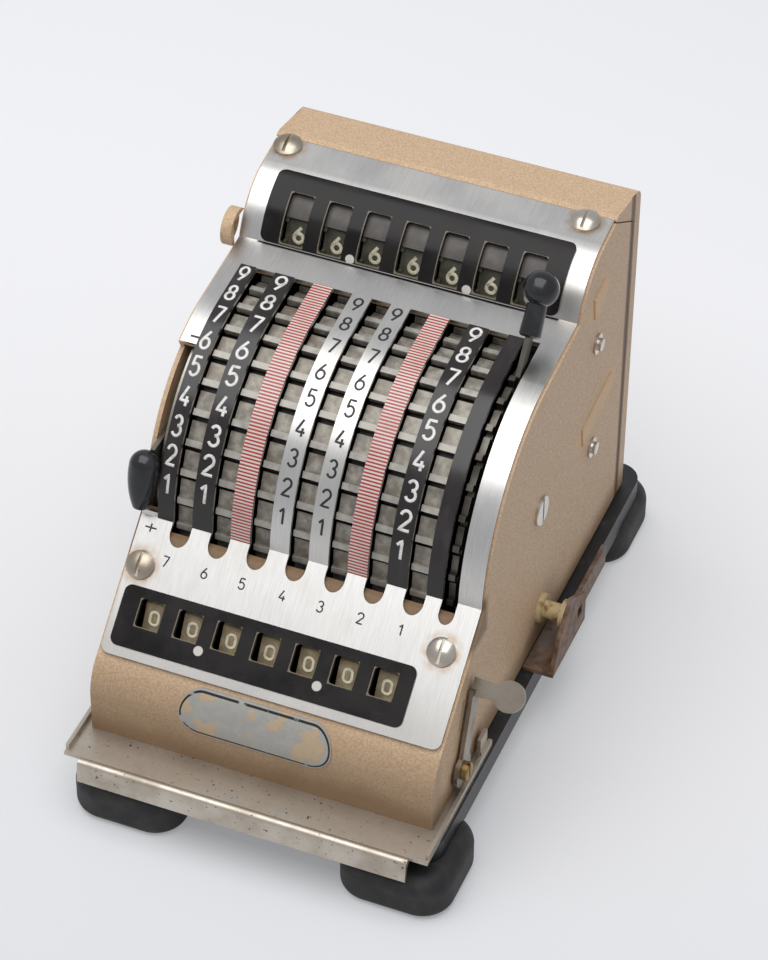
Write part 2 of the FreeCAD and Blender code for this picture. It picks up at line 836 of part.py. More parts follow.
def side_holes(body):
    """Holes in the right wall for its fixings and the spool's pin, and the thumb lever's slot."""
    sketch = new_sketch(body, "YZ_Plane", "case_half + 1")
    circle(sketch, "side_screw_y", "side_screw_z", SCREW_HOLE)
    circle(sketch, "stud_y", "stud_high_z", "(stud_round + hole_gap)")
    circle(sketch, "stud_y", "stud_low_z", "(stud_round + hole_gap)")
    circle(sketch, "thumb_pivot_y", "thumb_pivot_z", "(thumb_screw_round + hole_gap)")
    circle(sketch, "spool_y", "spool_z", "(spool_pin_round + hole_gap)")
    pocket(body, sketch, "case_wall + 2")
    lean = "atan(thumb_rise / thumb_run)"
    ends = [
        (
            f"(thumb_pivot_y + thumb_run * {share} - wall_slot_ahead)",
            f"(thumb_pivot_z + thumb_rise * {share})",
        )
        for share in ("wall_slot_start", "wall_slot_end")
    ]
    slot = new_sketch(body, "YZ_Plane", "case_half + 1")
    outline(slot, bar_outline(*ends, lean, "wall_slot_wide"))
    pocket(body, slot, "case_wall + 2")


def wall_beads(body):
    """Two beads pressed outwards in the right wall, one above each stud."""
    for stem in ("upper", "lower"):
        centre_y = f"(hood_y + {stem}_bead_back)"
        centre_z = f"(hood_z + {stem}_bead_up)"
        lean = f"{stem}_bead_lean"
        half_y = f"({stem}_bead_long / 2 * cos({lean}))"
        half_z = f"({stem}_bead_long / 2 * sin({lean}))"
        low = (f"({centre_y} - {half_y})", f"({centre_z} - {half_z})")
        high = (f"({centre_y} + {half_y})", f"({centre_z} + {half_z})")
        sketch = new_sketch(body, "YZ_Plane", "case_half")
        outline(sketch, bar_outline(low, high, lean, f"{stem}_bead_wide"))
        pad(body, sketch, "bead_proud")


def back_cover():
    """Back wall, rear of the roof and the narrow side flanges, bent up from one sheet."""
    body = new_body("back_cover")
    top_z = skin_top(CASE_DEPTH)[1]
    gusset = f"({top_z} - cover_gusset)"
    fold_y = "(plate_top_y + 2 * plate_thick)"
    ridge_y = "(plate_top_y + seam_gap)"
    roof_drop = "(roof_fall / (case_depth - plate_top_y))"
    round_y = "(case_depth - case_back_round)"
    round_z = f"(case_ridge_z - {roof_drop} * ({round_y} - plate_top_y))"
    side = [
        (ridge_y, f"({top_z} + end_gap)"),
        (ridge_y, "case_ridge_z - plate_thick / 2"),
        (fold_y, "case_ridge_z"),
        (round_y, round_z),
        ("case_depth", f"({round_z} - case_back_round)", "case_back_round", LEFT),
        ("case_depth", "0"),
        ("case_seam_y", "0"),
        ("case_seam_y", f"({gusset} + end_gap)"),
    ]
    sketch = new_sketch(body, "YZ_Plane", "-case_half")
    outline(sketch, side)
    pad(body, sketch, "2 * case_half")
    inner_y = "(case_depth - case_wall)"
    ahead_y = "(plate_top_y - case_back_round)"
    hollow = [
        (ahead_y, "-case_wall"),
        (ahead_y, "case_ridge_z - case_wall - plate_thick / 2"),
        (fold_y, "case_ridge_z - case_wall"),
        (round_y, f"({round_z} - case_wall)"),
        (inner_y, f"({round_z} - case_back_round)", "case_back_round - case_wall", LEFT),
        (inner_y, "-case_wall"),
    ]
    inside = new_sketch(body, "YZ_Plane", "-(case_half - case_wall)")
    outline(inside, hollow)
    pocket(body, inside, "2 * (case_half - case_wall)", reverse=True)
    return node(body)


# --- face plate and what lies on it -------------------------------------------------------

def slot_cutter(body, middle, wide):
    """A slot seen from above, with a round lower end."""
    sketch = new_sketch(body, "XY_Plane", "hood_z + hood_round")
    left = f"({middle} - {wide} / 2)"
    right = f"({middle} + {wide} / 2)"
    foot = f"(slot_low_y + {wide} / 2)"
    round_end = f"({wide} / 2)"
    outline(sketch, [
        (middle, "slot_low_y", round_end, RIGHT),
        (right, foot, round_end, RIGHT),
        (right, "slot_top_y"),
        (left, "slot_top_y"),
        (left, foot),
    ])
    return pocket(body, sketch, "hood_z + hood_round - wheel_z + plate_round")


def face_plate():
    """One aluminium sheet bent over the whole face, slotted for the wheels and the lever."""
    body = new_body("face_plate")
    sketch = new_sketch(body, "YZ_Plane", "-plate_half")
    outline(sketch, skin_up("0") + skin_down("plate_thick"))
    pad(body, sketch, "2 * plate_half")
    along_columns(body, slot_cutter(body, "slot_first", "slot_width"))
    slot_cutter(body, "lever_slot_x", "lever_slot_width")
    check_windows(body)
    result_windows(body)
    gap = new_sketch(body, "YZ_Plane", "-(plate_half + 1)")
    outline(gap, lever_gap("(2 * plate_thick)"))
    pocket(body, gap, "plate_half + 1 + outer_strip_left", reverse=True)
    screw_holes(body)
    low_z = value(skin_low("0")[1]) + FINE
    half = (value("plate_half"), 0)
    round_edges(
        body, "plate_corner",
        lambda edge: across_sheet(edge, half, value("plate_thick")) and edge.BoundBox.ZMax < low_z,
    )
    return node(body)


def mask_layer(body, path, left, right):
    sketch = new_sketch(body, "YZ_Plane", left)
    outline(sketch, path)
    pad(body, sketch, f"({right}) - ({left})")


def result_mask():
    """Dark surround of the result windows, bent round the hood."""
    body = new_body("result_mask")
    inner = "(hood_round + mask_lift)"
    outer = f"({inner} + mask_thick)"
    path = [
        turned("hood_y", "hood_z", inner, "mask_fold_turn") + (inner, RIGHT),
        turned("hood_y", "hood_z", outer, "mask_fold_turn"),
        turned("hood_y", "hood_z", outer, "mask_brow_turn") + (outer, LEFT),
        turned("hood_y", "hood_z", inner, "mask_brow_turn"),
    ]
    half_wide = "(case_half - result_mask_in)"
    mask_layer(body, path, f"-{half_wide}", half_wide)
    result_windows(body)
    half, thick = (value(half_wide), 0), value("mask_thick")
    round_edges(body, "mask_corner", lambda edge: across_sheet(edge, half, thick))
    return node(body)


def check_mask():
    """Dark surround of the check windows on the sloping panel."""
    body = new_body("check_mask")
    low = f"({check_window_up()} - check_mask_below)"
    high = f"({check_window_up()} + check_mask_above)"
    path = [
        on_slope(low),
        on_slope(low, "-mask_thick"),
        on_slope(high, "-mask_thick"),
        on_slope(high),
    ]
    left = "(check_window_first - check_window_wide / 2 - check_mask_left_end)"
    row_wide = "(column_pitch * (column_count - 1) + check_window_wide / 2)"
    right = f"(check_window_first + {row_wide} + check_mask_right_end)"
    mask_layer(body, path, left, right)
    check_windows(body)
    half = ((value(right) - value(left)) / 2, (value(right) + value(left)) / 2)
    thick = value("mask_thick")
    round_edges(body, "mask_corner", lambda edge: across_sheet(edge, half, thick))
    return node(body)


def scale_strip(label, left, wide):
    """A printed strip on one bar, from the plate's bend over the drum's round."""
    body = new_body(label)
    outer = "(plate_round + strip_thick)"
    path = [
        turned("wheel_y", "wheel_z", "plate_round", "bend_turn") + ("plate_round", RIGHT),
        turned("wheel_y", "wheel_z", outer, "bend_turn"),
        skin_crest("-strip_thick") + (outer, LEFT),
        ("slot_top_y", skin_flat_z("slot_top_y", "-strip_thick")),
        ("slot_top_y", skin_flat_z("slot_top_y", "0")),
        skin_crest("0"),
    ]
    mask_layer(body, path, left, f"({left}) + ({wide})")
    return body


def bar_left(index):
    """Left edge of the bar to the left of a column's slot."""
    return f"(slot_first + ({index} - 1) * column_pitch + slot_width / 2)"


def scale_strips():
    bar_wide = "(column_pitch - slot_width)"
    blank_left = bar_left("column_count")
    blank_wide = f"(lever_slot_x - lever_slot_width / 2 - {blank_left})"
    black = [scale_strip("strip_outer", "outer_strip_left", "outer_strip_wide")]
    black += [scale_strip(f"strip_black_{i}", bar_left(i), bar_wide) for i in (1, 6)]
    black += [scale_strip("strip_blank", blank_left, blank_wide)]
    striped = [scale_strip(f"strip_striped_{i}", bar_left(i), bar_wide) for i in (2, 5)]
    node(joined("scale_strips_black", "Compound", black))
    node(joined("scale_strips_striped", "Compound", striped))


def badge_plate():
    """Plain oval badge that follows the curve of the case front."""
    layer = new_body("badge_layer")
    outer = "(front_round + badge_thick)"
    low_y, low_z = skin_low(CASE_DEPTH)
    path = [
        ("-badge_thick", "0"),
        ("-badge_thick", "front_straight"),
        (f"({low_y} - badge_thick)", f"({low_z} + badge_thick / 2)", outer, LEFT),
        (low_y, low_z),
        ("0", "front_straight", "front_round", RIGHT),
        ("0", "0"),
    ]
    mask_layer(layer, path, "badge_mid_x - badge_long", "badge_mid_x + badge_long")
    stencil = new_body("badge_stencil")
    sketch = new_sketch(stencil, "XZ_Plane", "badge_thick + 1")
    end = "(badge_tall / 2)"
    tip = "(badge_long / 2)"
    middle_z = "(badge_low_z + badge_tall / 2)"
    high_z = "(badge_low_z + badge_tall)"
    outline(sketch, [
        (f"badge_mid_x + {tip} - {end}", "badge_low_z"),
        (f"badge_mid_x + {tip}", middle_z, end, RIGHT),
        (f"badge_mid_x + {tip} - {end}", high_z, end, RIGHT),
        (f"badge_mid_x - {tip} + {end}", high_z),
        (f"badge_mid_x - {tip}", middle_z, end, RIGHT),
        (f"badge_mid_x - {tip} + {end}", "badge_low_z", end, RIGHT),
    ])
    made = feature(stencil, "Pad", sketch, Reversed=True)
    bind(made, "Length", "front_round")
    return node(joined("badge_plate", "MultiCommon", [layer, stencil]))


# --- fasteners ----------------------------------------------------------------------------

def slot_across(wide, reach):
    """Outline of a driver's slot right across a head."""
    half = f"({wide} / 2)"
    return [(f"-{half}", f"-{reach}"), (half, f"-{reach}"), (half, reach), (f"-{half}", reach)]


def raised_screw(label):
    """Slotted screw with a domed head that rests on Z = 0."""
    body = new_body(label)
    rim = "(screw_head_tall / 3)"
    dome = f"((screw_head_round^2 + (screw_head_tall - {rim})^2) / (2 * (screw_head_tall - {rim})))"
    half = [
        ("0", "-screw_shank_long"),
        ("screw_shank_round", "-screw_shank_long"),
        ("screw_shank_round", "0"),
        ("screw_head_round", "0"),
        ("screw_head_round", rim),
        ("0", "screw_head_tall", dome, RIGHT),
    ]
    sketch = new_sketch(body, "XZ_Plane")
    outline(sketch, half)
    spin(body, "Revolution", sketch, "Z_Axis")
    slot = new_sketch(body, "XY_Plane", "screw_head_tall")
    outline(slot, slot_across("screw_slot_wide", "screw_head_round"))
    pocket(body, slot, "screw_slot_deep")
    return body


def face_screws():
    screws = []
    for number, (x, y, z, lean) in enumerate(screw_spots()):
        screw = raised_screw(f"face_screw_{number}")
        screws.append(place(screw, x, y, z, Vector(1, 0, 0), lean))
    node(joined("face_screws", "Compound", screws))


# --- wheels, drums and their shafts -------------------------------------------------------

SHAFT_BORE = "(wheel_shaft_round + running_gap)"
DRUM_BORE = "(drum_shaft_round + running_gap)"


def tooth_gaps(body, width, left):
    """Cut the gaps of a toothed rim: a raised ridge, a narrow gap below it, then a flat land."""
    pitch = "(360 / wheel_teeth)"
    half_ridge = "(ridge_width / 2 / wheel_tip * 180 / pi)"
    ahead = f"(ridge_turn + {half_ridge})"
    behind = f"(ridge_turn + {pitch} - {half_ridge})"
    over = "(wheel_tip + 1)"
    gap = [
        turned("0", "0", over, ahead),
        turned("0", "0", over, behind),
        turned("0", "0", "wheel_land", behind),
        turned("0", "0", "wheel_land", f"({ahead} + gap_turn)"),
        turned("0", "0", "wheel_root", f"({ahead} + gap_turn)"),
        turned("0", "0", "wheel_root", ahead),
    ]
    sketch = new_sketch(body, "YZ_Plane", left)
    outline(sketch, gap)
    around(body, pocket(body, sketch, width, reverse=True), "wheel_teeth")


def setting_wheel(index):
    """Wheel with finger ridges all round its rim, a thin web and a long hub."""
    body = new_body(column_name("setting_wheel", index))
    half_wide = "(wheel_width / 2)"
    half_web = "(web_thick / 2)"
    half_hub = "((column_pitch - end_gap) / 2)"
    rim_in = "(wheel_root - wheel_rim)"
    sketch = new_sketch(body, "XY_Plane")
    outline(sketch, [
        (f"-{half_hub}", SHAFT_BORE),
        (half_hub, SHAFT_BORE),
        (half_hub, "hub_round"),
        (half_web, "hub_round"),
        (half_web, rim_in),
        (half_wide, rim_in),
        (half_wide, "wheel_tip"),
        (f"-{half_wide}", "wheel_tip"),
        (f"-{half_wide}", rim_in),
        (f"-{half_web}", rim_in),
        (f"-{half_web}", "hub_round"),
        (f"-{half_hub}", "hub_round"),
    ])
    spin(body, "Revolution", sketch)
    tooth_gaps(body, "wheel_width", f"-{half_wide}")
    return node(body, column_x("slot_first", index), "wheel_y", "wheel_z")


def drum_middle(turn):
    return turned("wheel_y", "wheel_z", "drum_centre", turn)


def ring_pad(body, left, width, radius, bore=DRUM_BORE):
    """A washer-shaped pad along X."""
    sketch = new_sketch(body, "YZ_Plane", left)
    circle(sketch, "0", "0", radius)
    circle(sketch, "0", "0", bore)
    return pad(body, sketch, width)


def star_gaps(body, left, turn):
    """Cut the ten gaps of the star so that a wheel ridge stands in the one it faces."""
    line_to_ridge = f"(({turn}) - ridge_turn)"
    star_turn = f"(({turn}) + 180 + {line_to_ridge} * wheel_teeth / drum_count)"
    half_gap = "(180 / drum_count - star_tooth / 2 / star_root * 180 / pi)"
    over = "(star_tip + 1)"
    sketch = new_sketch(body, "YZ_Plane", left)
    outline(sketch, [
        turned("0", "0", over, f"({star_turn} - {half_gap})"),
        turned("0", "0", over, f"({star_turn} + {half_gap})"),
        turned("0", "0", "star_root", f"({star_turn} + {half_gap})"),
        turned("0", "0", "star_root", f"({star_turn} - {half_gap})"),
    ])
    around(body, pocket(body, sketch, "star_thick", reverse=True), "drum_count")


def numeral_drum(stem, index, face_left, star_left, left):
    """Ten-sided numeral ring with the ten-toothed star that the setting wheel's ridges drive.

    left is the drum's left end; a plain hub fills the rest of the column's pitch on the right."""
    body = new_body(column_name(f"{stem}_drum", index))
    turn, face_turn = f"{stem}_drum_turn", f"{stem}_face_turn"
    ring = [
        turned("0", "0", "drum_corner", f"({face_turn} + ({side} + 0.5) * 360 / drum_count)")
        for side in range(SIZES["drum_count"])
    ]
    sketch = new_sketch(body, "YZ_Plane", face_left)
    outline(sketch, ring)
    circle(sketch, "0", "0", DRUM_BORE)
    pad(body, sketch, "drum_face_width")
    ring_pad(body, star_left, "star_thick", "star_tip")
    star_gaps(body, star_left, turn)
    face_right = f"({face_left} + drum_face_width)"
    ring_pad(body, face_right, f"{left} + column_pitch - end_gap - {face_right}", "drum_hub_round")
    return node(body, column_x("slot_first", index), *drum_middle(turn))


def result_drum(index):
    """The star lies left of the numerals, in line with the setting wheel."""
    face_left = "(result_window_first - slot_first - drum_face_width / 2)"
    star_left = f"({face_left} - star_thick)"
    return numeral_drum("result", index, face_left, star_left, star_left)


def check_drum(index):
    """The star lies right of the numerals, in line with the setting wheel."""
    face_left = "(check_window_first - slot_first - drum_face_width / 2)"
    star_left = f"({face_left} + drum_face_width)"
    return numeral_drum("check", index, face_left, star_left, face_left)


def drum_shaft(label, turn):
    """A shaft that ends flush with the outer faces of the frame plates."""
    made = rod(label, "drum_shaft_round", "2 * frame_outer")
    return node(made, "-frame_outer", *drum_middle(turn))


def wheel_shaft():
    """The setting wheels' shaft, long enough on the left to carry the plus-minus lever."""
    made = rod("wheel_shaft", "wheel_shaft_round", "frame_outer - sign_arm_left")
    return node(made, "sign_arm_left", "wheel_y", "wheel_z")


def frame_plate(label, left):
    """Steel plate that carries the shafts, cut to the line of the face a few millimetres in."""
    body = new_body(label)
    path = [(skin_low("frame_inset")[0], "0")] + skin_up("frame_inset")
    shoulder = f"({skin_top('frame_inset')[1]} - cover_gusset)"
    path += [("frame_back_y", shoulder), ("frame_back_y", "0")]
    sketch = new_sketch(body, "YZ_Plane", left)
    outline(sketch, path)
    circle(sketch, "wheel_y", "wheel_z", "(wheel_shaft_round + pin_gap)")
    for turn in ("result_drum_turn", "check_drum_turn"):
        circle(sketch, *drum_middle(turn), "(drum_shaft_round + pin_gap)")
    pad(body, sketch, "frame_thick")
    return node(body)


def result_shutter():
    """Thin curved blind that closes the upper half of the result windows."""
    body = new_body("result_shutter")
    inner = "(shutter_round - shutter_thick)"
    path = [
        turned("hood_y", "hood_z", inner, "shutter_end_turn") + (inner, RIGHT),
        turned("hood_y", "hood_z", "shutter_round", "shutter_end_turn"),
        turned("hood_y", "hood_z", "shutter_round", "shutter_start_turn")
        + ("shutter_round", LEFT),
        turned("hood_y", "hood_z", inner, "shutter_start_turn"),
    ]
    mask_layer(body, path, "-frame_inner", "frame_inner")
    return node(body)


# --- levers -------------------------------------------------------------------------------

def bar_outline(start, end, lean, wide):
    """Side view of a straight bar between two points."""
    dy, dz = f"({wide} / 2 * sin({lean}))", f"({wide} / 2 * cos({lean}))"
    return [
        (f"({start[0]} + {dy})", f"({start[1]} - {dz})"),
        (f"({end[0]} + {dy})", f"({end[1]} - {dz})"),
        (f"({end[0]} - {dy})", f"({end[1]} + {dz})"),
        (f"({start[0]} - {dy})", f"({start[1]} + {dz})"),
    ]


def clear_lever():
    """Narrow toothed wheel in the lever's slot with a flat arm that leans back out of it."""
    body = new_body("clear_lever")
    sketch = new_sketch(body, "XY_Plane")
    outline(sketch, [
        ("0", SHAFT_BORE),
        ("clear_wheel_width", SHAFT_BORE),
        ("clear_wheel_width", "wheel_tip"),
        ("0", "wheel_tip"),
    ])
    spin(body, "Revolution", sketch)
    tooth_gaps(body, "clear_wheel_width", "0")
    ring_pad(body, "clear_wheel_width", "arm_thick", "hub_round", SHAFT_BORE)
    foot = ("(ball_back - ball_rise / tan(arm_lean))", "plate_round")
    spoke_low = "(wheel_shaft_round + hub_wall)"
    spoke = new_sketch(body, "YZ_Plane", "clear_wheel_width")
    outline(spoke, [
        ("-arm_width / 2", spoke_low),
        ("arm_width / 2", spoke_low),
        (f"{foot[0]} + arm_width / 2", foot[1]),
        (f"{foot[0]} - arm_width / 2", foot[1]),
    ])
    pad(body, spoke, "arm_thick")
    back = "(neck_long - neck_bore)"
    top = (
        f"(ball_back - {back} * cos(arm_lean))",
        f"(plate_round + ball_rise - {back} * sin(arm_lean))",
    )
    half = "(arm_width / 2)"
    low = (f"({foot[0]} - {half} * cos(arm_lean))", f"({foot[1]} - {half} * sin(arm_lean))")
    stem = new_sketch(body, "YZ_Plane", "clear_wheel_width")
    outline(stem, bar_outline(low, top, "arm_lean", "arm_width"))
    pad(body, stem, "arm_thick")
    return node(body, "clear_wheel_left", "wheel_y", "wheel_z")


def clear_ball():
    """Ball and neck moulded in one, with a flat socket pressed on the end of the arm."""
    body = new_body("clear_ball")
    waist = "(neck_round - neck_edge / 2)"
    sketch = new_sketch(body, "XZ_Plane")
    outline(sketch, [
        ("neck_round - neck_edge", "-neck_long"),
        ("neck_round", "neck_edge - neck_long"),
        (waist, f"-sqrt(ball_round^2 - {waist}^2)"),
        ("ball_round", "0", "ball_round", RIGHT),
        ("0", "ball_round", "ball_round", RIGHT),
        ("0", "-neck_long"),
    ])
    spin(body, "Revolution", sketch, "Z_Axis")
    half_thick = "(arm_thick / 2 + pin_gap)"
    half_wide = "(arm_width / 2 + pin_gap)"
    socket = new_sketch(body, "XY_Plane", "-neck_long")
    outline(socket, [
        (f"-{half_thick}", f"-{half_wide}"),
        (half_thick, f"-{half_wide}"),
        (half_thick, half_wide),
        (f"-{half_thick}", half_wide),
    ])
    pocket(body, socket, "neck_bore + end_gap", reverse=True)
    body.Placement = Placement(Vector(), Rotation(Vector(-1, 0, 0), value("90 - arm_lean")))
    bind(body, ".Placement.Rotation.Angle", "90 - arm_lean")
    return node(body, "clear_wheel_left + clear_wheel_width + arm_thick / 2", "ball_y", "ball_z")


def sign_lever():
    """Flat steel arm with an elbow, which turns on the left end of the wheels' shaft."""
    body = new_body("sign_lever")
    ring_pad(body, "0", "sign_arm_thick", "hub_round", SHAFT_BORE)
    half = "(sign_arm_wide / 2)"
    ring_middle = "(wheel_shaft_round + hub_wall + running_gap)"
    bar = new_sketch(body, "YZ_Plane")
    outline(bar, [
        (f"-{ring_middle}", "0"),
        ("0", ring_middle),
        (f"(sign_arm_elbow + {half})", f"(sign_arm_rise + {half})"),
        ("sign_arm_tip", f"(sign_arm_rise + {half})"),
        ("sign_arm_tip", f"(sign_arm_rise - {half})"),
        (f"(sign_arm_elbow - {half})", f"(sign_arm_rise - {half})"),
    ])
    pad(body, bar, "sign_arm_thick")
    return node(body, "sign_arm_left", "wheel_y", "wheel_z")


def sign_knob():
    """Pear-shaped knob, slotted where the lever's end is pressed into it."""
    pear = new_body("sign_knob_pear")
    half_long = "(sign_knob_long / 2)"
    shoulder = f"({half_long} - sign_knob_round)"
    tail = ("sign_knob_round / 2", f"(sign_knob_flat - {half_long})")
    sketch = new_sketch(pear, "XZ_Plane")
    outline(sketch, [
        tail + ("sign_knob_round * 0.9", RIGHT),
        ("sign_knob_round", shoulder, "sign_knob_long * 1.5", RIGHT),
        ("0", half_long, "sign_knob_round", RIGHT),
        ("0", f"-{half_long}"),
    ])
    spin(pear, "Revolution", sketch, "Z_Axis")
    pear.Placement = Placement(Vector(), Rotation(Vector(-1, 0, 0), value("180 - sign_knob_turn")))
    bind(pear, ".Placement.Rotation.Angle", "180 - sign_knob_turn")
    knob_y, knob_z = turned("wheel_y", "wheel_z", "sign_knob_out", "sign_knob_turn")
    place(pear, "-(case_half - sign_knob_in)", knob_y, knob_z)
    wide = "(sign_arm_wide + 2 * pin_gap)"
    socket = box(
        "sign_knob_socket",
        (
            "sign_arm_left - pin_gap",
            "wheel_y + sign_arm_tip - pin_gap",
            f"wheel_z + sign_arm_rise - {wide} / 2",
        ),
        ("sign_arm_thick + 2 * pin_gap", "sign_knob_long", wide),
    )
    return node(cut("sign_knob", pear, socket))


def thumb_lever():
    """Check-clearing lever: a flat bar up the side with its end turned out to a thumb disc."""
    bar = new_body("thumb_bar")
    ring = new_sketch(bar, "YZ_Plane", "thumb_left")
    circle(ring, "thumb_pivot_y", "thumb_pivot_z", "thumb_hub_round")
    circle(ring, "thumb_pivot_y", "thumb_pivot_z", "(thumb_screw_round + running_gap)")
    pad(bar, ring, "thumb_arm_thick")
    lean = "atan(thumb_rise / thumb_run)"
    clear = "((thumb_screw_round + thumb_hub_round) / 2)"
    low = (f"(thumb_pivot_y + {clear} * cos({lean}))", f"(thumb_pivot_z + {clear} * sin({lean}))")
    strip = new_sketch(bar, "YZ_Plane", "thumb_left")
    outline(strip, bar_outline(low, ("thumb_top_y", "thumb_top_z"), lean, "thumb_arm_wide"))
    pad(bar, strip, "thumb_arm_thick")
    tilt = ("0", "thumb_top_y", "thumb_top_z", "thumb_tilt")
    disc = new_sketch(bar, "XY_Plane", tilt=tilt)
    circle(disc, "thumb_disc_x", "0", "thumb_disc_round")
    pad(bar, disc, "thumb_arm_thick")
    neck = new_sketch(bar, "XY_Plane", tilt=tilt)
    root, end = "(thumb_arm_wide / 2)", "(thumb_neck_wide / 2)"
    outline(neck, [
        ("thumb_left", f"-{root}"),
        ("thumb_disc_x", f"-{end}"),
        ("thumb_disc_x", end),
        ("thumb_left", root),
    ])
    pad(bar, neck, "thumb_arm_thick")
    bar.Label = "check_clear_lever"
    return node(bar)


def thumb_collar():
    """Spacing washer between the case and the check-clearing lever."""
    body = new_body("pivot_collar")
    sketch = new_sketch(body, "YZ_Plane")
    circle(sketch, "0", "0", "thumb_screw_head")
    circle(sketch, "0", "0", "(thumb_screw_round + running_gap)")
    pad(body, sketch, "thumb_collar_thick")
    return node(body, "case_half", "thumb_pivot_y", "thumb_pivot_z")


def side_fixing(label, head_left, head_round, head_proud, shank_round, slot_wide):
    """Slotted cheese-head screw along X; its head begins head_left from the case's face."""
    body = new_body(label)
    head_right = f"({head_left} + {head_proud})"
    sketch = new_sketch(body, "XY_Plane")
    outline(sketch, [
        ("-(2 * case_wall)", "0"),
        (head_right, "0"),
        (head_right, f"({head_round} - edge_break)"),
        (f"({head_right} - edge_break)", head_round),
        (head_left, head_round),
        (head_left, shank_round),
        ("-(2 * case_wall)", shank_round),
    ])
    spin(body, "Revolution", sketch)
    slot = new_sketch(body, "YZ_Plane", head_right)
    outline(slot, slot_across(slot_wide, head_round))
    pocket(body, slot, f"{head_proud} / 2")
    return body


def pivot_screw():
    """Brass screw that the check-clearing lever turns on."""
    head_left = "(thumb_collar_thick + thumb_arm_thick + running_gap)"
    head = (head_left, "thumb_screw_head", "thumb_screw_proud")
    body = side_fixing("pivot_screw", *head, "thumb_screw_round", "thumb_slot_wide")
    return node(body, "case_half", "thumb_pivot_y", "thumb_pivot_z")


def side_screw():
    head = ("0", "side_screw_round", "side_screw_proud")
    body = side_fixing("side_screw", *head, "screw_shank_round", "screw_slot_wide")
    return node(body, "case_half", "side_screw_y", "side_screw_z")


def side_studs():
    """Two round-ended studs with collars, riveted in the right wall."""
    studs = []
    for stem, z in (("high", "stud_high_z"), ("low", "stud_low_z")):
        body = new_body(f"stud_{stem}")
        sketch = new_sketch(body, "XY_Plane")
        outline(sketch, [
            ("-case_wall", "0"),
            ("stud_proud", "0"),
            ("stud_proud - edge_break", "stud_round"),
            ("stud_proud / 3", "stud_round"),
            ("stud_proud / 3", "stud_collar_round"),
            ("0", "stud_collar_round"),
            ("0", "stud_round"),
            ("-case_wall", "stud_round"),
        ])
        spin(body, "Revolution", sketch)
        studs.append(place(body, "case_half", "stud_y", z))
    return node(joined("side_studs", "Compound", studs))


def side_clip():
    """Pressed ear on the left wall, open at the back like a cable clip."""
    body = new_body("side_clip")
    sketch = new_sketch(body, "YZ_Plane")
    circle(sketch, "0", "0", "clip_round")
    pad(body, sketch, "clip_out")
    hollow = new_sketch(body, "YZ_Plane", "clip_thick")
    outline(hollow, [
        ("-clip_lip_y", "-2 * clip_round"),
        ("2 * clip_round", "-2 * clip_round"),
        ("2 * clip_round", "clip_lip_z"),
        ("-clip_lip_y", "clip_lip_z"),
    ])
    pocket(body, hollow, "clip_out - clip_thick", reverse=True)
    return node(body, "-(case_half + clip_out)", "hood_y - clip_ahead", "hood_z + clip_up")


def spool():
    """Painted spool on a thin pin between the case and the bracket."""
    body = new_body("spool")
    far = "(spool_long - spool_flange_thick)"
    sketch = new_sketch(body, "XY_Plane")
    outline(sketch, [
        ("-case_wall", "0"),
        ("spool_long", "0"),
        ("spool_long", "spool_flange"),
        (far, "spool_flange"),
        (far, "spool_core"),
        ("spool_flange_thick", "spool_core"),
        ("spool_flange_thick", "spool_flange"),
        ("0", "spool_flange"),
        ("0", "spool_pin_round"),
        ("-case_wall", "spool_pin_round"),
    ])
    spin(body, "Revolution", sketch)
    return node(body, "case_half", "spool_y", "spool_z")


BASE_RIGHT = "(base_mid_x + base_half)"


def side_bracket():
    """Floor, upright and rear strap of the bracket that stands on the base's right rail."""
    floor_left = "(case_half + bracket_inset)"
    upright_left = "(case_half + spool_long)"
    floor_z = "-tray_thick"
    floor = box(
        "bracket_floor",
        (floor_left, "bracket_front_y", floor_z),
        (
            f"{upright_left} + bracket_thick - {floor_left}",
            "bracket_back_y - bracket_front_y",
            "bracket_thick",
        ),
    )
    wall = new_body("bracket_wall")
    sketch = new_sketch(wall, "YZ_Plane", upright_left)
    outline(sketch, [
        ("bracket_front_y", floor_z),
        ("bracket_back_y", floor_z),
        ("bracket_back_y", "bracket_shoulder_z"),
        ("bracket_front_y + bracket_peak", "bracket_peak_z"),
        ("bracket_front_y + bracket_nose", "bracket_shoulder_z"),
    ])
    pad(wall, sketch, "bracket_thick")
    hole = new_sketch(wall, "YZ_Plane", f"({upright_left} + bracket_thick)")
    left = "(bracket_front_y + bracket_hole_back - bracket_hole_wide / 2)"
    low = "(bracket_hole_z - bracket_hole_wide / 2)"
    right, high = f"({left} + bracket_hole_wide)", f"({low} + bracket_hole_wide)"
    outline(hole, [(right, low), (right, high), (left, high), (left, low)])
    pocket(wall, hole, "bracket_thick")
    strap = box(
        "bracket_strap",
        (BASE_RIGHT, "bracket_front_y + bracket_peak", f"{floor_z} - bracket_strap_drop"),
        ("bracket_thick", "bracket_strap_long", "bracket_strap_drop + bracket_thick"),
    )
    return node(joined("side_bracket", "MultiFuse", [floor, wall, strap]))


# --- base ---------------------------------------------------------------------------------

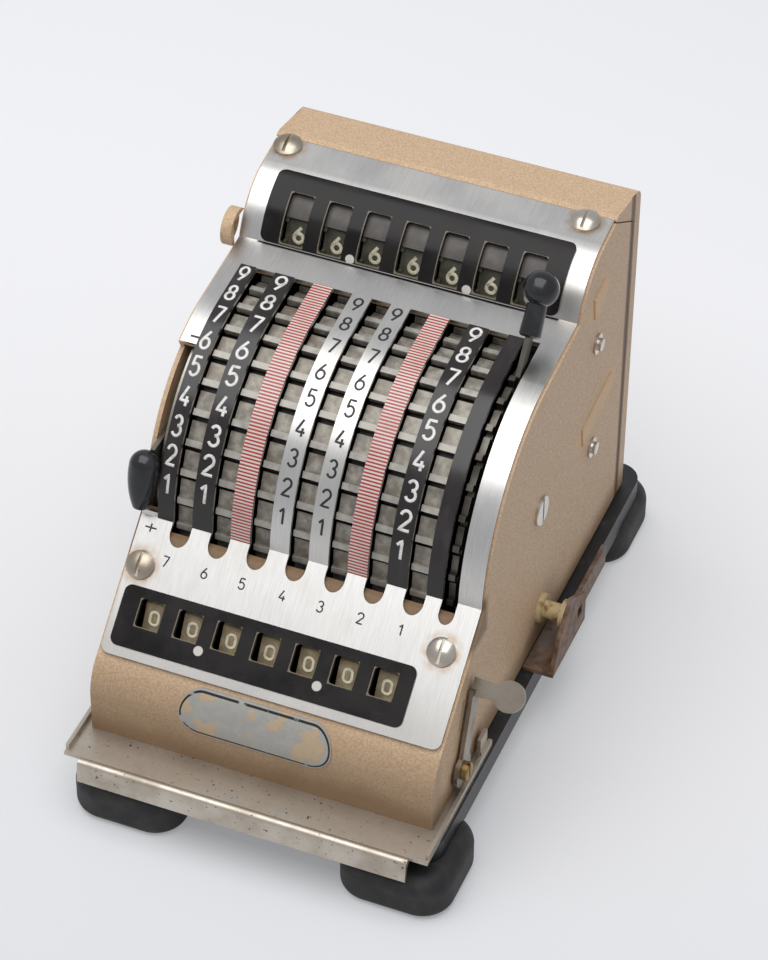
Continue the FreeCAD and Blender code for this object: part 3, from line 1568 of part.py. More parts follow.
def base_tray():
    """Nickel-plated tray under the case, wide in front, with a beaded lip and raised sides."""
    body = new_body("base_tray")
    plan = new_sketch(body, "XY_Plane", "-tray_thick")
    outline(plan, [
        ("-tray_half", "tray_front_y"),
        ("tray_half", "tray_front_y"),
        ("tray_half", "tray_wide_back_y"),
        ("tray_narrow_half", "tray_wide_back_y"),
        ("tray_narrow_half", "tray_back_y"),
        ("-tray_narrow_half", "tray_back_y"),
        ("-tray_narrow_half", "tray_wide_back_y"),
        ("-tray_half", "tray_wide_back_y"),
    ])
    pad(body, plan, "tray_thick")
    lip = new_sketch(body, "YZ_Plane", "-tray_lip_half")
    front = "(tray_front_y - 2 * tray_bead)"
    outline(lip, [
        ("tray_front_y", "0"),
        (front, "-tray_bead", "tray_bead * 1.2", RIGHT),
        (f"({front} - tray_thick / 2)", "-tray_lip_drop"),
        (f"({front} + tray_thick / 2)", "-tray_lip_drop"),
        (f"({front} + tray_thick)", "-tray_thick - tray_bead"),
        ("tray_front_y", "-tray_thick"),
    ])
    pad(body, lip, "2 * tray_lip_half")
    for left in ("-tray_half", "tray_half - tray_thick"):
        side = new_sketch(body, "XY_Plane")
        right = f"({left} + tray_thick)"
        outline(side, [
            (right, "tray_front_y + tray_bead"),
            (right, "tray_wide_back_y"),
            (left, "tray_wide_back_y"),
            (left, "tray_front_y + tray_bead"),
        ])
        pad(body, side, "tray_side_lift")
    return node(body)


def tray_tab():
    """Small upright tab inside the tray's right edge."""
    made = box(
        "tray_tab",
        ("0", "0", "0"),
        ("tray_thick", "tab_wide", "tab_tall"),
    )
    tab_y = "tray_wide_back_y - tab_in - tab_wide / 2"
    return node(made, "tray_half - 2 * tray_thick", tab_y, "0")


def sub_base():
    """Black pressed-steel pan turned upside down, which the tray is fixed on."""
    body = new_body("sub_base")
    left, right = "(base_mid_x - base_half)", BASE_RIGHT
    top = "(-tray_thick)"
    plan = new_sketch(body, "XY_Plane", "base_low_z")
    outline(plan, rounded(left, "base_front_y", right, "base_back_y", "base_corner"))
    pad(body, plan, f"{top} - base_low_z")
    hollow = new_sketch(body, "XY_Plane", "base_low_z")
    outline(hollow, rounded(
        f"({left} + base_wall)", "(base_front_y + base_wall)",
        f"({right} - base_wall)", "(base_back_y - base_wall)", "(base_corner - base_wall)",
    ))
    pocket(body, hollow, f"{top} - base_low_z - base_wall", reverse=True)
    return node(body)


def foot(label, left, low_y):
    """Rubber block that the pan's corner sinks into, rounded above and below."""
    body = new_body(label)
    bottom = "-ride_height"
    right, high_y = f"({left} + foot_wide)", f"({low_y} + foot_long)"
    plan = new_sketch(body, "XY_Plane", bottom)
    outline(plan, rounded(left, low_y, right, high_y, "foot_corner"))
    pad(body, plan, "foot_top_z + ride_height")
    floor, ceiling = value(bottom) + FINE, value("foot_top_z") - FINE
    round_edges(body, "foot_edge", lambda edge: edge.BoundBox.ZMax < floor)
    round_edges(body, "foot_crown", lambda edge: edge.BoundBox.ZMin > ceiling)
    seat = new_sketch(body, "XY_Plane", "foot_top_z")
    outline(seat, rounded(
        "(base_mid_x - base_half - foot_gap)", "(base_front_y - foot_gap)",
        "(base_mid_x + base_half + foot_gap)", "(base_back_y + foot_gap)", "(base_corner + foot_gap)",
    ))
    pocket(body, seat, "foot_top_z - base_low_z")
    return node(body)


def feet():
    """Four feet. The rear pair stands out less to the sides than the front pair."""
    front, rear = "foot_front_y", "(foot_back_y - foot_long)"
    for end, low_y, half in (("front", front, "foot_half"), ("rear", rear, "foot_rear_half")):
        foot(f"foot_{end}_left", f"(base_mid_x - {half})", low_y)
        foot(f"foot_{end}_right", f"(base_mid_x + {half} - foot_wide)", low_y)


# --- build, check and write ---------------------------------------------------------------

def check_and_write():
    doc.recompute()
    broken = [o.Name for o in doc.Objects if {"Invalid", "Error"} & set(o.State)]
    broken += [p.Label for p in NODES if p.Shape.isNull() or not p.Shape.isValid()]
    if broken:
        raise RuntimeError(f"these did not build: {broken}")
    os.makedirs("parts", exist_ok=True)
    for part in NODES:
        part.Shape.exportStep(f"parts/{part.Label}.step")
        size = part.Shape.BoundBox
        lengths = [round(length, 1) for length in (size.XLength, size.YLength, size.ZLength)]
        print(part.Label, lengths, "mm in", len(part.Shape.Solids))


housing()
back_cover()
face_plate()
result_mask()
check_mask()
scale_strips()
badge_plate()
face_screws()
for index in COLUMNS:
    setting_wheel(index)
    result_drum(index)
    check_drum(index)
wheel_shaft()
drum_shaft("result_shaft", "result_drum_turn")
drum_shaft("check_shaft", "check_drum_turn")
frame_plate("frame_left", "-frame_outer")
frame_plate("frame_right", "frame_inner")
result_shutter()
clear_lever()
clear_ball()
sign_lever()
sign_knob()
thumb_lever()
thumb_collar()
pivot_screw()
side_screw()
side_studs()
side_clip()
spool()
side_bracket()
base_tray()
tray_tab()
sub_base()
feet()
check_and_write()
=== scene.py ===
# %% [markdown]
# # A finger-operated adding machine
# The solids come ready made, as one imported model in metres. This lesson gives them their
# finishes and adds what is too fine for solids: painted figures, printed lines, worn edges with
# a painted highlight.
# The first cell loads the model and gives a way to measure the box of a solid.

# %% Load the machine
import math
from collections import namedtuple

import bpy
from mathutils import Matrix, Vector


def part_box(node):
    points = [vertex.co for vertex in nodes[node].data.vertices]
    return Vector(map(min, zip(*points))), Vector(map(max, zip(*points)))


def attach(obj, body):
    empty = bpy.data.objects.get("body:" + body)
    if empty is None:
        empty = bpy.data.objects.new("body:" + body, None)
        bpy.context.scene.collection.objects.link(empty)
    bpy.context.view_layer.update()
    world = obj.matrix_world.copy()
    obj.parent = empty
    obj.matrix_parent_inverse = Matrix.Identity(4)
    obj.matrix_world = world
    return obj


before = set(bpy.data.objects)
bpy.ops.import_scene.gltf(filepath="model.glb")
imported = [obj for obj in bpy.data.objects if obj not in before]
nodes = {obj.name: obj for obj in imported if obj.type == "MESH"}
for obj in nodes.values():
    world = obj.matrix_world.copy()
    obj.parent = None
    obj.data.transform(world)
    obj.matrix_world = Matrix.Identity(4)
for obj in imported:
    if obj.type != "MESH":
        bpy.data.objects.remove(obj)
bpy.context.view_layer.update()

# %% [markdown]
# ## Where things are
# The machine is easier to think about from its own case: x across from the middle, y back
# from the case front, z up from the tray, all in millimetres. `at` turns such a point into
# the scene's metres. Seen from the side, three places matter, each as a y and a z: the wheel
# shaft, the middle of the hood's round, and the lower edge of the sloping panel. Seen from the
# front, the machine is seven equal columns, one pitch apart.

# %% Machine measures
MM = 0.001
ORIGIN = Vector((7.4, 89.5, -24.0))
WHEEL = (97.7, 55.9)
HOOD = (147.0, 105.9)
HOOD_ROUND = 26.2
PANEL_EDGE = (6.4, 29.55)
SLOPE = math.radians(41.1)
PITCH = 13.5
COLUMNS = 7


def at(x, y, z):
    """A machine point in scene metres."""
    return (Vector((x, y, z)) - ORIGIN) * MM


def round_point(centre, radius, degrees):
    """y and z on a circle seen from the side."""
    turn = math.radians(degrees)
    return centre[0] + radius * math.cos(turn), centre[1] + radius * math.sin(turn)


def panel_point(reach, out=0.0):
    """y and z a way up the sloping panel from its lower edge, and a way out from it."""
    y = PANEL_EDGE[0] + reach * math.cos(SLOPE) - out * math.sin(SLOPE)
    z = PANEL_EDGE[1] + reach * math.sin(SLOPE) + out * math.cos(SLOPE)
    return y, z


print("wheel shaft at", [round(v, 4) for v in at(0, *WHEEL)])

# %% [markdown]
# ## Camera
# A long lens from the front right, 42 degrees up. With a 143 mm lens the sides of the case
# stay nearly parallel, so the camera stands well back. A Track To constraint could aim it,
# but a plain rotation also holds the half degree of roll.

# %% Camera
CAMERA_PLACE = (352.1, -773.7, 892.1)
CAMERA_TURN, CAMERA_RISE, CAMERA_ROLL = [math.radians(a) for a in (21.85, 41.93, 0.573)]
FOCAL_LENGTH = 143.32

lens = bpy.data.cameras.new("camera_lens")
lens.sensor_width = 36.0
lens.lens = FOCAL_LENGTH
lens.clip_start, lens.clip_end = 0.05, 20.0
camera = bpy.data.objects.new("camera", lens)
scene = bpy.context.scene
scene.collection.objects.link(camera)
bpy.context.scene.camera = camera
camera.location = at(*CAMERA_PLACE)
to_camera = Vector((
    math.sin(CAMERA_TURN) * math.cos(CAMERA_RISE),
    -math.cos(CAMERA_TURN) * math.cos(CAMERA_RISE),
    math.sin(CAMERA_RISE),
))
level = (-to_camera).to_track_quat("-Z", "Y").to_matrix()
camera.rotation_euler = (level @ Matrix.Rotation(CAMERA_ROLL, 3, "Z")).to_euler()
print("camera at", [round(v, 3) for v in camera.location])

# %% [markdown]
# ## World
# A pale world fills everything with plain studio light. Mirror-like metal sees a paler world,
# as it would see a pale backdrop. Real white cards round the machine would do that too, but
# the Light Path node is simpler: it tells which kind of ray is asking, and the strength of the
# world follows it.

# %% World
WORLD_TINT = (0.93, 0.95, 1.0, 1.0)
WORLD_FILL, WORLD_MIRRORED = 0.46, 0.56


def studio_world():
    world = bpy.data.worlds.new("studio")
    scene.world = world
    world.use_nodes = True
    sky = world.node_tree
    background = sky.nodes["Background"]
    background.inputs["Color"].default_value = WORLD_TINT
    ray = sky.nodes.new("ShaderNodeLightPath")
    mirrored = sky.nodes.new("ShaderNodeMath")
    mirrored.operation = "MAXIMUM"
    sky.links.new(ray.outputs["Is Glossy Ray"], mirrored.inputs[0])
    sky.links.new(ray.outputs["Is Camera Ray"], mirrored.inputs[1])
    strength = sky.nodes.new("ShaderNodeMath")
    strength.operation = "MULTIPLY_ADD"
    sky.links.new(mirrored.outputs[0], strength.inputs[0])
    strength.inputs[1].default_value = WORLD_MIRRORED - WORLD_FILL
    strength.inputs[2].default_value = WORLD_FILL
    sky.links.new(strength.outputs[0], background.inputs["Strength"])


scene.view_settings.view_transform = "Standard"
studio_world()
print("world fills at", WORLD_FILL, "and shows in metal at", WORLD_MIRRORED)

# %% [markdown]
# ## Lamp
# One broad soft panel hangs overhead. Several small lamps would give several sharp
# highlights, and this one reaches far enough forward to put a single bright band on the round
# of the face plate and on the top of the sloping panel. World and panel together light a
# level white surface to about white and no further. An area lamp looks straight down as it
# is made, so it needs no turning.

# %% Soft panel
PANEL_PLACE = (-0.15, -0.27, 1.2)
PANEL_SIZE = (1.3, 1.2)
PANEL_POWER = 11.8

lamp = bpy.data.lights.new("overhead_panel", "AREA")
lamp.shape = "RECTANGLE"
lamp.size, lamp.size_y = PANEL_SIZE
lamp.energy = PANEL_POWER
soft_panel = bpy.data.objects.new("overhead_panel", lamp)
soft_panel.location = PANEL_PLACE
scene.collection.objects.link(soft_panel)
print("soft panel of", PANEL_POWER, "watts,", PANEL_PLACE[2], "metres up")

# %% [markdown]
# ## Helpers for finishes
# A finish is a small network of shader nodes. It could be wired link by link, but each step
# takes several lines of code. `Finish` keeps one network and has short calls for the steps
# that every finish here needs, so the recipes below read like recipes. Colours are written as
# on screen, 0 to 255, and `put` turns them into the linear numbers that a shader wants.

# %% Finish helper
def linear(channel):
    """A screen channel from 0 to 255 as the linear share that a shader wants."""
    share = channel / 255
    return share / 12.92 if share <= 0.04045 else ((share + 0.055) / 1.055) ** 2.4


class Finish:
    """One material and the short calls that build its network."""

    def __init__(self, name, roughness=0.5, metallic=0.0):
        self.material = bpy.data.materials.new(name)
        self.material.use_nodes = True
        self.tree = self.material.node_tree
        self.shader = self.tree.nodes["Principled BSDF"]
        self.shader.inputs["Roughness"].default_value = roughness
        self.shader.inputs["Metallic"].default_value = metallic
        self.place = self.add("ShaderNodeTexCoord").outputs["Object"]

    def add(self, kind, **settings):
        node = self.tree.nodes.new(kind)
        for name, setting in settings.items():
            setattr(node, name, setting)
        return node

    def put(self, socket, value):
        """Give a socket a link, a screen colour or a number."""
        if isinstance(value, bpy.types.NodeSocket):
            self.tree.links.new(value, socket)
        elif socket.type == "RGBA":
            socket.default_value = (*map(linear, value), 1.0)
        else:
            socket.default_value = value

    def sum(self, operation, *values):
        node = self.add("ShaderNodeMath", operation=operation)
        for socket, value in zip(node.inputs, values):
            self.put(socket, value)
        return node.outputs[0]

    def axes(self):
        """Machine x, y and z of the shaded point, in millimetres."""
        node = self.add("ShaderNodeSeparateXYZ")
        self.put(node.inputs[0], self.place)
        return [self.sum("MULTIPLY_ADD", node.outputs[i], 1 / MM, ORIGIN[i]) for i in range(3)]

    def noise(self, scale, detail=3.0, stretch=(1, 1, 1)):
        """Cloudy noise from 0 to 1. scale is in features per metre."""
        mapping = self.add("ShaderNodeMapping")
        self.put(mapping.inputs["Vector"], self.place)
        mapping.inputs["Scale"].default_value = stretch
        cloud = self.add("ShaderNodeTexNoise")
        self.put(cloud.inputs["Vector"], mapping.outputs[0])
        cloud.inputs["Scale"].default_value = scale
        cloud.inputs["Detail"].default_value = detail
        cloud.inputs["Roughness"].default_value = 0.55
        return cloud.outputs["Fac"]

    def between(self, value, low, high, to_low=0.0, to_high=1.0):
        """Rescale a value and hold it inside the new range."""
        node = self.add("ShaderNodeMapRange", interpolation_type="SMOOTHSTEP")
        for socket, number in zip(node.inputs, (value, low, high, to_low, to_high)):
            self.put(socket, number)
        return node.outputs[0]

    def blend(self, amount, first, second):
        node = self.add("ShaderNodeMix", data_type="RGBA")
        self.put(node.inputs["Factor"], amount)
        self.put(node.inputs["A"], first)
        self.put(node.inputs["B"], second)
        return node.outputs["Result"]

    def mottle(self, noise, low, high, first, second):
        """Two colours mixed by a noise: the first below low, the second above high."""
        return self.blend(self.between(noise, low, high), first, second)

    def coats(self, tone, *layers):
        """Lay colours over a tone in turn. A layer is the amount that covers and a colour."""
        for amount, colour in layers:
            tone = self.blend(amount, tone, colour)
        return tone

    def colour(self, value):
        self.put(self.shader.inputs["Base Color"], value)

    def rough(self, value):
        self.put(self.shader.inputs["Roughness"], value)

    def relief(self, height, depth, strength=1.0):
        """Bump. depth is in metres."""
        bump = self.add("ShaderNodeBump")
        bump.inputs["Strength"].default_value = strength
        bump.inputs["Distance"].default_value = depth
        self.put(bump.inputs["Height"], height)
        self.put(self.shader.inputs["Normal"], bump.outputs[0])


print("finish helper ready")

# %% Dress a solid
def dress(finish, *names):
    """Give a finish to whole solids."""
    for name in names:
        mesh = nodes[name].data
        mesh.materials.clear()
        mesh.materials.append(finish.material)


print("solids to dress:", len(nodes))

# %% [markdown]
# ## Painting by place
# Most dirt and wear has its own place: a seam, the ring round a screw, the foot of a slot.
# Such marks could be painted on an image by hand. Here each one is a sum on the place of the
# shaded point instead, which needs no unwrapping and stays sharp at any size. A few sums come
# back again and again, mostly on y and z, because the machine is the same right across.

# %% Sums on the place of a point
def apart(finish, value, other):
    """How far two values are apart."""
    return finish.sum("ABSOLUTE", finish.sum("SUBTRACT", value, other))


def offset(finish, centre):
    """Millimetres back and up from a machine y and z."""
    _, y, z = finish.axes()
    return finish.sum("SUBTRACT", y, centre[0]), finish.sum("SUBTRACT", z, centre[1])


def along_line(finish, centre, angle):
    """Millimetres from a centre along a line that rises towards the back at an angle."""
    back, up = offset(finish, centre)
    back_part = finish.sum("MULTIPLY", back, math.cos(angle))
    return finish.sum("ADD", back_part, finish.sum("MULTIPLY", up, math.sin(angle)))


def length(finish, first, second):
    """Length of a slanting way from its two parts, which are square to each other."""
    squares = finish.sum("ADD", finish.sum("POWER", first, 2.0), finish.sum("POWER", second, 2.0))
    return finish.sum("SQRT", squares)


QUARTER = math.radians(90)
print("place sums ready")

# %% [markdown]
# ## Hammertone enamel
# The case is sprayed with beige hammertone, a paint that dries into tiny dimples. Displacing
# the mesh would need millions of faces, so a fine noise makes them as bump and as a faint
# change of tone. A second noise adds dark specks and a broad one the yellowing. Then come the
# other marks: painted shade at the feet of the slots and low on the front, yellowed paint with a
# painted highlight on the two pressed beads, rust along the rear seam and splashes round the
# foot.

# %% Where the case is marked
WALL = 59.3
SLOT_FOOT = (37.4, 56.6)
SEAM = 172.2
BEADS = [((141.7, 111.0), 5.5, 8.0), ((144.6, 61.6), 14.0, 7.5)]
FAR = 1000.0


def slot_grime(paint):
    """Painted shade along the strip of case that shows through the feet of the slots."""
    back, up = offset(paint, SLOT_FOOT)
    reach = paint.sum("MAXIMUM", paint.sum("ABSOLUTE", back), paint.sum("ABSOLUTE", up))
    return paint.between(reach, 5.0, 9.0, 0.8, 0.0)


def on_wall(paint, across):
    """1 on the outside of a side wall."""
    return paint.between(across, WALL - 0.2, WALL + 0.2)


def seam_rust(paint, broad):
    """On both side walls, along the upright seam in front of the rear cover."""
    x, y, _ = paint.axes()
    spread = paint.sum("SUBTRACT", apart(paint, y, SEAM), paint.sum("MULTIPLY", broad, 1.6))
    streak = paint.between(spread, 0.4, 2.0, 1.0, 0.0)
    return paint.sum("MULTIPLY", streak, on_wall(paint, paint.sum("ABSOLUTE", x)))


def bead_stain(paint, broad):
    """On the two long beads pressed in the right wall: yellowed paint, and a painted highlight
    where their tops face the light. Each is a middle, half its length and the degrees it leans."""
    nearest = FAR
    for middle, half_long, degrees in BEADS:
        lean = math.radians(degrees)
        along = paint.sum("ABSOLUTE", along_line(paint, middle, lean))
        across = paint.sum("ABSOLUTE", along_line(paint, middle, lean + QUARTER))
        beyond = paint.sum("MAXIMUM", paint.sum("SUBTRACT", along, half_long), 0.0)
        nearest = paint.sum("MINIMUM", nearest, paint.sum("ADD", beyond, across))
    ragged = paint.sum("SUBTRACT", nearest, paint.sum("MULTIPLY", broad, 4.0))
    stain = paint.between(ragged, -2.0, 7.0, 0.8, 0.0)
    return paint.sum("MULTIPLY", stain, on_wall(paint, paint.axes()[0]))


def low_grime(paint):
    """Painted shade on the front wall, deeper towards its foot."""
    _, y, z = paint.axes()
    ahead = paint.between(y, 3.0, 9.0, 1.0, 0.0)
    return paint.sum("MULTIPLY", paint.between(z, 8.0, 44.0, 0.45, 0.12), ahead)


def splashes(paint, broad):
    """Round the foot of every wall, as high as the broad noise lets them."""
    ragged = paint.sum("SUBTRACT", paint.axes()[2], paint.sum("MULTIPLY", broad, 16.0))
    return paint.between(ragged, -6.0, 6.0, 0.6, 0.0)


# Two of the five marks are painted shade, at the slot feet and low on the front, and the beads
# carry a painted highlight as well as yellowing.
print("5 marks of use, seam at", SEAM, "mm back")

# %% [markdown]
# The wells behind the windows are part of the same solid as the beige walls. They are painted
# near black inside, painted shade where little light reaches. Faces could be picked one by one
# for a second material, but the wells all lie under the sloping panel or under the hood, which
# a sum can tell.

# %% Wells behind the windows
PANEL_END = 28.0
WELL_FRONT = 8.0
WELL_DEPTH = 0.4
WALL_INSIDE = 56.5


def on_panel_part(finish):
    """1 as far back as the sloping panel reaches."""
    return finish.between(finish.axes()[1], PANEL_END, PANEL_END + 1.0, 1.0, 0.0)


def window_wells(paint):
    """1 in the wells behind both rows of windows, painted near black as painted shade."""
    x, y, _ = paint.axes()
    out = along_line(paint, PANEL_EDGE, SLOPE + QUARTER)
    deep = paint.between(out, -2 * WELL_DEPTH, -WELL_DEPTH, 1.0, 0.0)
    in_row = paint.sum(
        "MULTIPLY", paint.between(y, WELL_FRONT - 0.5, WELL_FRONT), on_panel_part(paint)
    )
    under_hood = length(paint, *offset(paint, HOOD))
    upper = paint.between(under_hood, HOOD_ROUND - 1.2, HOOD_ROUND - 0.6, 1.0, 0.0)
    wells = paint.sum("MAXIMUM", paint.sum("MULTIPLY", deep, in_row), upper)
    aside = paint.sum("ABSOLUTE", x)
    inside = paint.between(aside, WALL_INSIDE, WALL_INSIDE + 0.5, 1.0, 0.0)
    return paint.sum("MULTIPLY", wells, inside)


print("wells from", WELL_DEPTH, "mm under the panel")

# %% Case enamel
def case_enamel():
    paint = Finish("beige_hammertone", roughness=0.48)
    paint.shader.inputs["Specular IOR Level"].default_value = 0.3
    dimples = paint.noise(1500.0, 2.0)
    specks = paint.noise(700.0, 3.0)
    broad = paint.noise(28.0, 4.0)
    paint.colour(paint.coats(
        paint.mottle(dimples, 0.3, 0.7, (188, 158, 126), (216, 186, 153)),
        (paint.between(broad, 0.55, 0.8, 0.0, 0.5), (188, 156, 114)),
        (paint.between(specks, 0.70, 0.78, 0.0, 0.7), (110, 82, 58)),
        # painted shade at the slot feet, under the plate
        (slot_grime(paint), (112, 88, 64)),
        # yellowed paint and a painted highlight on the beads
        (bead_stain(paint, broad), (220, 182, 136)),
        (seam_rust(paint, broad), (104, 74, 46)),
        # painted shade low on the front wall
        (low_grime(paint), (142, 116, 88)),
        (splashes(paint, broad), (120, 92, 64)),
        # painted shade in the wells behind the windows
        (window_wells(paint), (26, 23, 20)),
    ))
    paint.relief(dimples, 0.0002, 0.6)
    return paint


dress(case_enamel(), "housing", "back_cover", "side_clip")
print("case enamel on 3 solids")

# %% [markdown]
# ## Brushed aluminium
# The face plate is bare aluminium, brushed up and down. An anisotropic shader stretches the
# highlight but shows no lines, so noise squeezed along one direction draws them. Round each
# screw damp has crept under the head and left a brown ring, so the distance to each screw
# drives a stain. The plate is duller at the foot of the panel. The walls of its windows are
# painted near black, painted shade where they lie deep, and what tells a wall from the face is
# the way it looks.

# %% Which way a face looks
ROW_SIDE = 52.0
HOOD_START = 121.0


def facing(finish, out_y, out_z):
    """1 on faces that look the way given, 0 on walls square to it."""
    bearing = finish.add("ShaderNodeSeparateXYZ")
    finish.put(bearing.inputs[0], finish.add("ShaderNodeNewGeometry").outputs["True Normal"])
    share_y = finish.sum("MULTIPLY", bearing.outputs[1], out_y)
    outward = finish.sum("MULTIPLY_ADD", bearing.outputs[2], out_z, share_y)
    return finish.between(outward, 0.5, 0.8)


def off_panel(finish):
    """1 on faces that look straight out from the sloping panel."""
    return facing(finish, -math.sin(SLOPE), math.cos(SLOPE))


def off_hood(finish):
    """1 on faces that look straight out from the hood's round."""
    back, up = offset(finish, HOOD)
    out_y, out_z = finish.sum("DIVIDE", back, HOOD_ROUND), finish.sum("DIVIDE", up, HOOD_ROUND)
    return facing(finish, out_y, out_z)


def window_walls(metal):
    """1 on the walls of both rows of windows, painted near black as painted shade."""
    x, y, _ = metal.axes()
    lower = metal.sum("SUBTRACT", on_panel_part(metal), off_panel(metal))
    on_hood_part = metal.between(y, HOOD_START, HOOD_START + 1.0)
    upper = metal.sum("SUBTRACT", on_hood_part, off_hood(metal))
    walls = metal.sum("MAXIMUM", metal.sum("MAXIMUM", lower, upper), 0.0)
    aside = metal.sum("ABSOLUTE", x)
    return metal.sum("MULTIPLY", walls, metal.between(aside, ROW_SIDE, ROW_SIDE + 1.0, 1.0, 0.0))


print("a panel face looks", round(math.degrees(SLOPE), 1), "degrees forward of straight up")

# %% Face plate
SCREWS = [(-53.9, 29.2, 49.3), (50.3, 29.2, 49.3), (-53.9, 151.0, 133.1), (50.3, 151.0, 133.1)]


def near(finish, centre, radius, softness):
    """1 inside a ball round a machine point, falling to 0 over the softness."""
    node = finish.add("ShaderNodeVectorMath", operation="DISTANCE")
    finish.put(node.inputs[0], finish.place)
    node.inputs[1].default_value = at(*centre)
    reach = finish.sum("MULTIPLY", node.outputs["Value"], 1 / MM)
    return finish.between(reach, radius, radius + softness, 1.0, 0.0)


def brushed_plate():
    metal = Finish("brushed_aluminium", roughness=0.34, metallic=1.0)
    lines = metal.noise(260.0, 6.0, stretch=(14.0, 0.5, 0.5))
    cloud = metal.noise(45.0, 5.0)
    ragged = metal.between(metal.noise(300.0, 4.0), 0.3, 0.7, 0.15, 0.75)
    rings = [metal.sum("MULTIPLY", near(metal, spot, 4.6, 3.4), ragged) for spot in SCREWS]
    metal.colour(metal.coats(
        metal.mottle(lines, 0.25, 0.75, (200, 198, 194), (215, 213, 210)),
        (metal.between(cloud, 0.5, 0.85, 0.0, 0.4), (184, 172, 152)),
        (metal.between(metal.axes()[2], 30.0, 45.0, 0.6, 0.0), (176, 172, 166)),
        *[(ring, (176, 142, 104)) for ring in rings],
        # painted shade on the walls of the windows
        (window_walls(metal), (20, 18, 17)),
    ))
    metal.rough(metal.between(cloud, 0.3, 0.8, 0.28, 0.42))
    metal.relief(lines, 0.00003, 0.06)
    return metal


dress(brushed_plate(), "face_plate")
print("brushed aluminium on the face plate, stained round", len(SCREWS), "screws")

# %% [markdown]
# ## Dark window surrounds
# Both rows of windows sit in glossy brown-black surrounds. Thumbs and dust cloths have rubbed
# the paint off the rims of the windows, and the rims catch the light on their left and lower
# edges, so a pale line of wear and painted highlight runs along those two edges of each one.
# Fourteen frames could be modelled, but a sum is shorter. The windows are evenly
# spaced, so it folds x onto one window with a remainder and measures how far outside that
# window a point is. Moving the folded window a little to the left and down leaves the line on
# those two edges only. A row keeps what the sum needs: the x of its leftmost window, how wide
# and tall a window is, how far along the surface its middle is, and which way down is.

# %% Rows of windows
def panel_reach(finish):
    """Millimetres up the sloping panel."""
    return along_line(finish, PANEL_EDGE, SLOPE)


def hood_reach(finish):
    """Millimetres round the hood, from its rearmost point over the top."""
    back, up = offset(finish, HOOD)
    return finish.sum("MULTIPLY", finish.sum("ARCTAN2", up, back), HOOD_ROUND)


Row = namedtuple("Row", "first wide tall middle down reach outward")
CHECK_ROW = Row(
    first=-45.7, wide=8.3, tall=9.2, middle=15.5, down=-1, reach=panel_reach, outward=off_panel
)
RESULT_ROW = Row(
    first=-40.7, wide=8.2, tall=17.3, middle=math.radians(138.5) * HOOD_ROUND, down=1,
    reach=hood_reach, outward=off_hood,
)
FOLD_START = 20 * PITCH


def aside_of_column(finish, first):
    """Millimetres sideways from the middle of the nearest column. The fold starts far out,
    because below nought a remainder would run the other way."""
    shifted = finish.sum("ADD", finish.axes()[0], PITCH / 2 - first + FOLD_START)
    return apart(finish, finish.sum("MODULO", shifted, PITCH), PITCH / 2)


print("a window of the upper row is", RESULT_ROW.wide, "by", RESULT_ROW.tall, "mm")

# %% Window surrounds
RIM_SHIFT = 0.22
CHECK_DOTS = [(x, *panel_point(8.8)) for x in (-26.6, 14.5)]
RESULT_DOTS = [(x, *round_point(HOOD, HOOD_ROUND, 156.3)) for x in (-20.0, 20.6)]


def rim_distance(finish, row):
    """Millimetres outside the nearest window of a row, for windows moved left and down."""
    aside = aside_of_column(finish, row.first - RIM_SHIFT)
    along = apart(finish, row.reach(finish), row.middle + row.down * RIM_SHIFT)
    row_middle = row.first + (COLUMNS - 1) / 2 * PITCH
    from_middle = apart(finish, finish.axes()[0], row_middle)
    past_row = finish.sum("SUBTRACT", from_middle, COLUMNS / 2 * PITCH)
    beside = finish.sum("SUBTRACT", aside, row.wide / 2)
    above = finish.sum("SUBTRACT", along, row.tall / 2)
    return finish.sum("MAXIMUM", finish.sum("MAXIMUM", beside, above), past_row)


def surround(name, row, dots):
    """Dark gloss with rims rubbed pale, a line of wear and painted highlight. A pale dot marks the
    decimal place below a window.
    """
    paint = Finish(name, roughness=0.24)
    paint.shader.inputs["Specular IOR Level"].default_value = 0.24
    smear = paint.noise(60.0, 5.0)
    scratch = paint.noise(160.0, 3.0, stretch=(0.3, 6.0, 6.0))
    ragged = paint.sum("MULTIPLY", paint.noise(420.0, 4.0), 0.3)
    rim = paint.between(paint.sum("ADD", rim_distance(paint, row), ragged), 0.22, 0.32, 1.0, 0.0)
    rim_wear_and_highlight = paint.sum("MULTIPLY", rim, row.outward(paint))
    paint.colour(paint.coats(
        paint.mottle(smear, 0.35, 0.75, (19, 16, 15), (33, 28, 26)),
        (paint.between(scratch, 0.70, 0.80, 0.0, 0.22), (90, 79, 72)),
        # pale rims: wear and a painted highlight on the left and lower edges
        (paint.sum("MULTIPLY", rim_wear_and_highlight, 0.5), (166, 154, 130)),
        *[(near(paint, dot, 1.55, 0.25), (206, 202, 194)) for dot in dots],
    ))
    paint.rough(paint.between(smear, 0.3, 0.8, 0.16, 0.4))
    return paint


check_surround = surround("check_surround", CHECK_ROW, CHECK_DOTS)
result_surround = surround("result_surround", RESULT_ROW, RESULT_DOTS)
dress(check_surround, "check_mask")
dress(result_surround, "result_mask")
print("two surrounds,", 2 * COLUMNS, "worn rims,", len(CHECK_DOTS + RESULT_DOTS), "dots")

# %% [markdown]
# ## Scale strips
# The black strips are gloss paint on foil. The striped ones are printed: nine red lines to
# each tooth of the wheel below. Lines along y or z would crowd together where the plate turns
# over, so the angle round the wheel shaft counts them, and they stay square to the curve.

# %% Scale strips
TEETH = 34
LINES_TO_A_TOOTH = 9


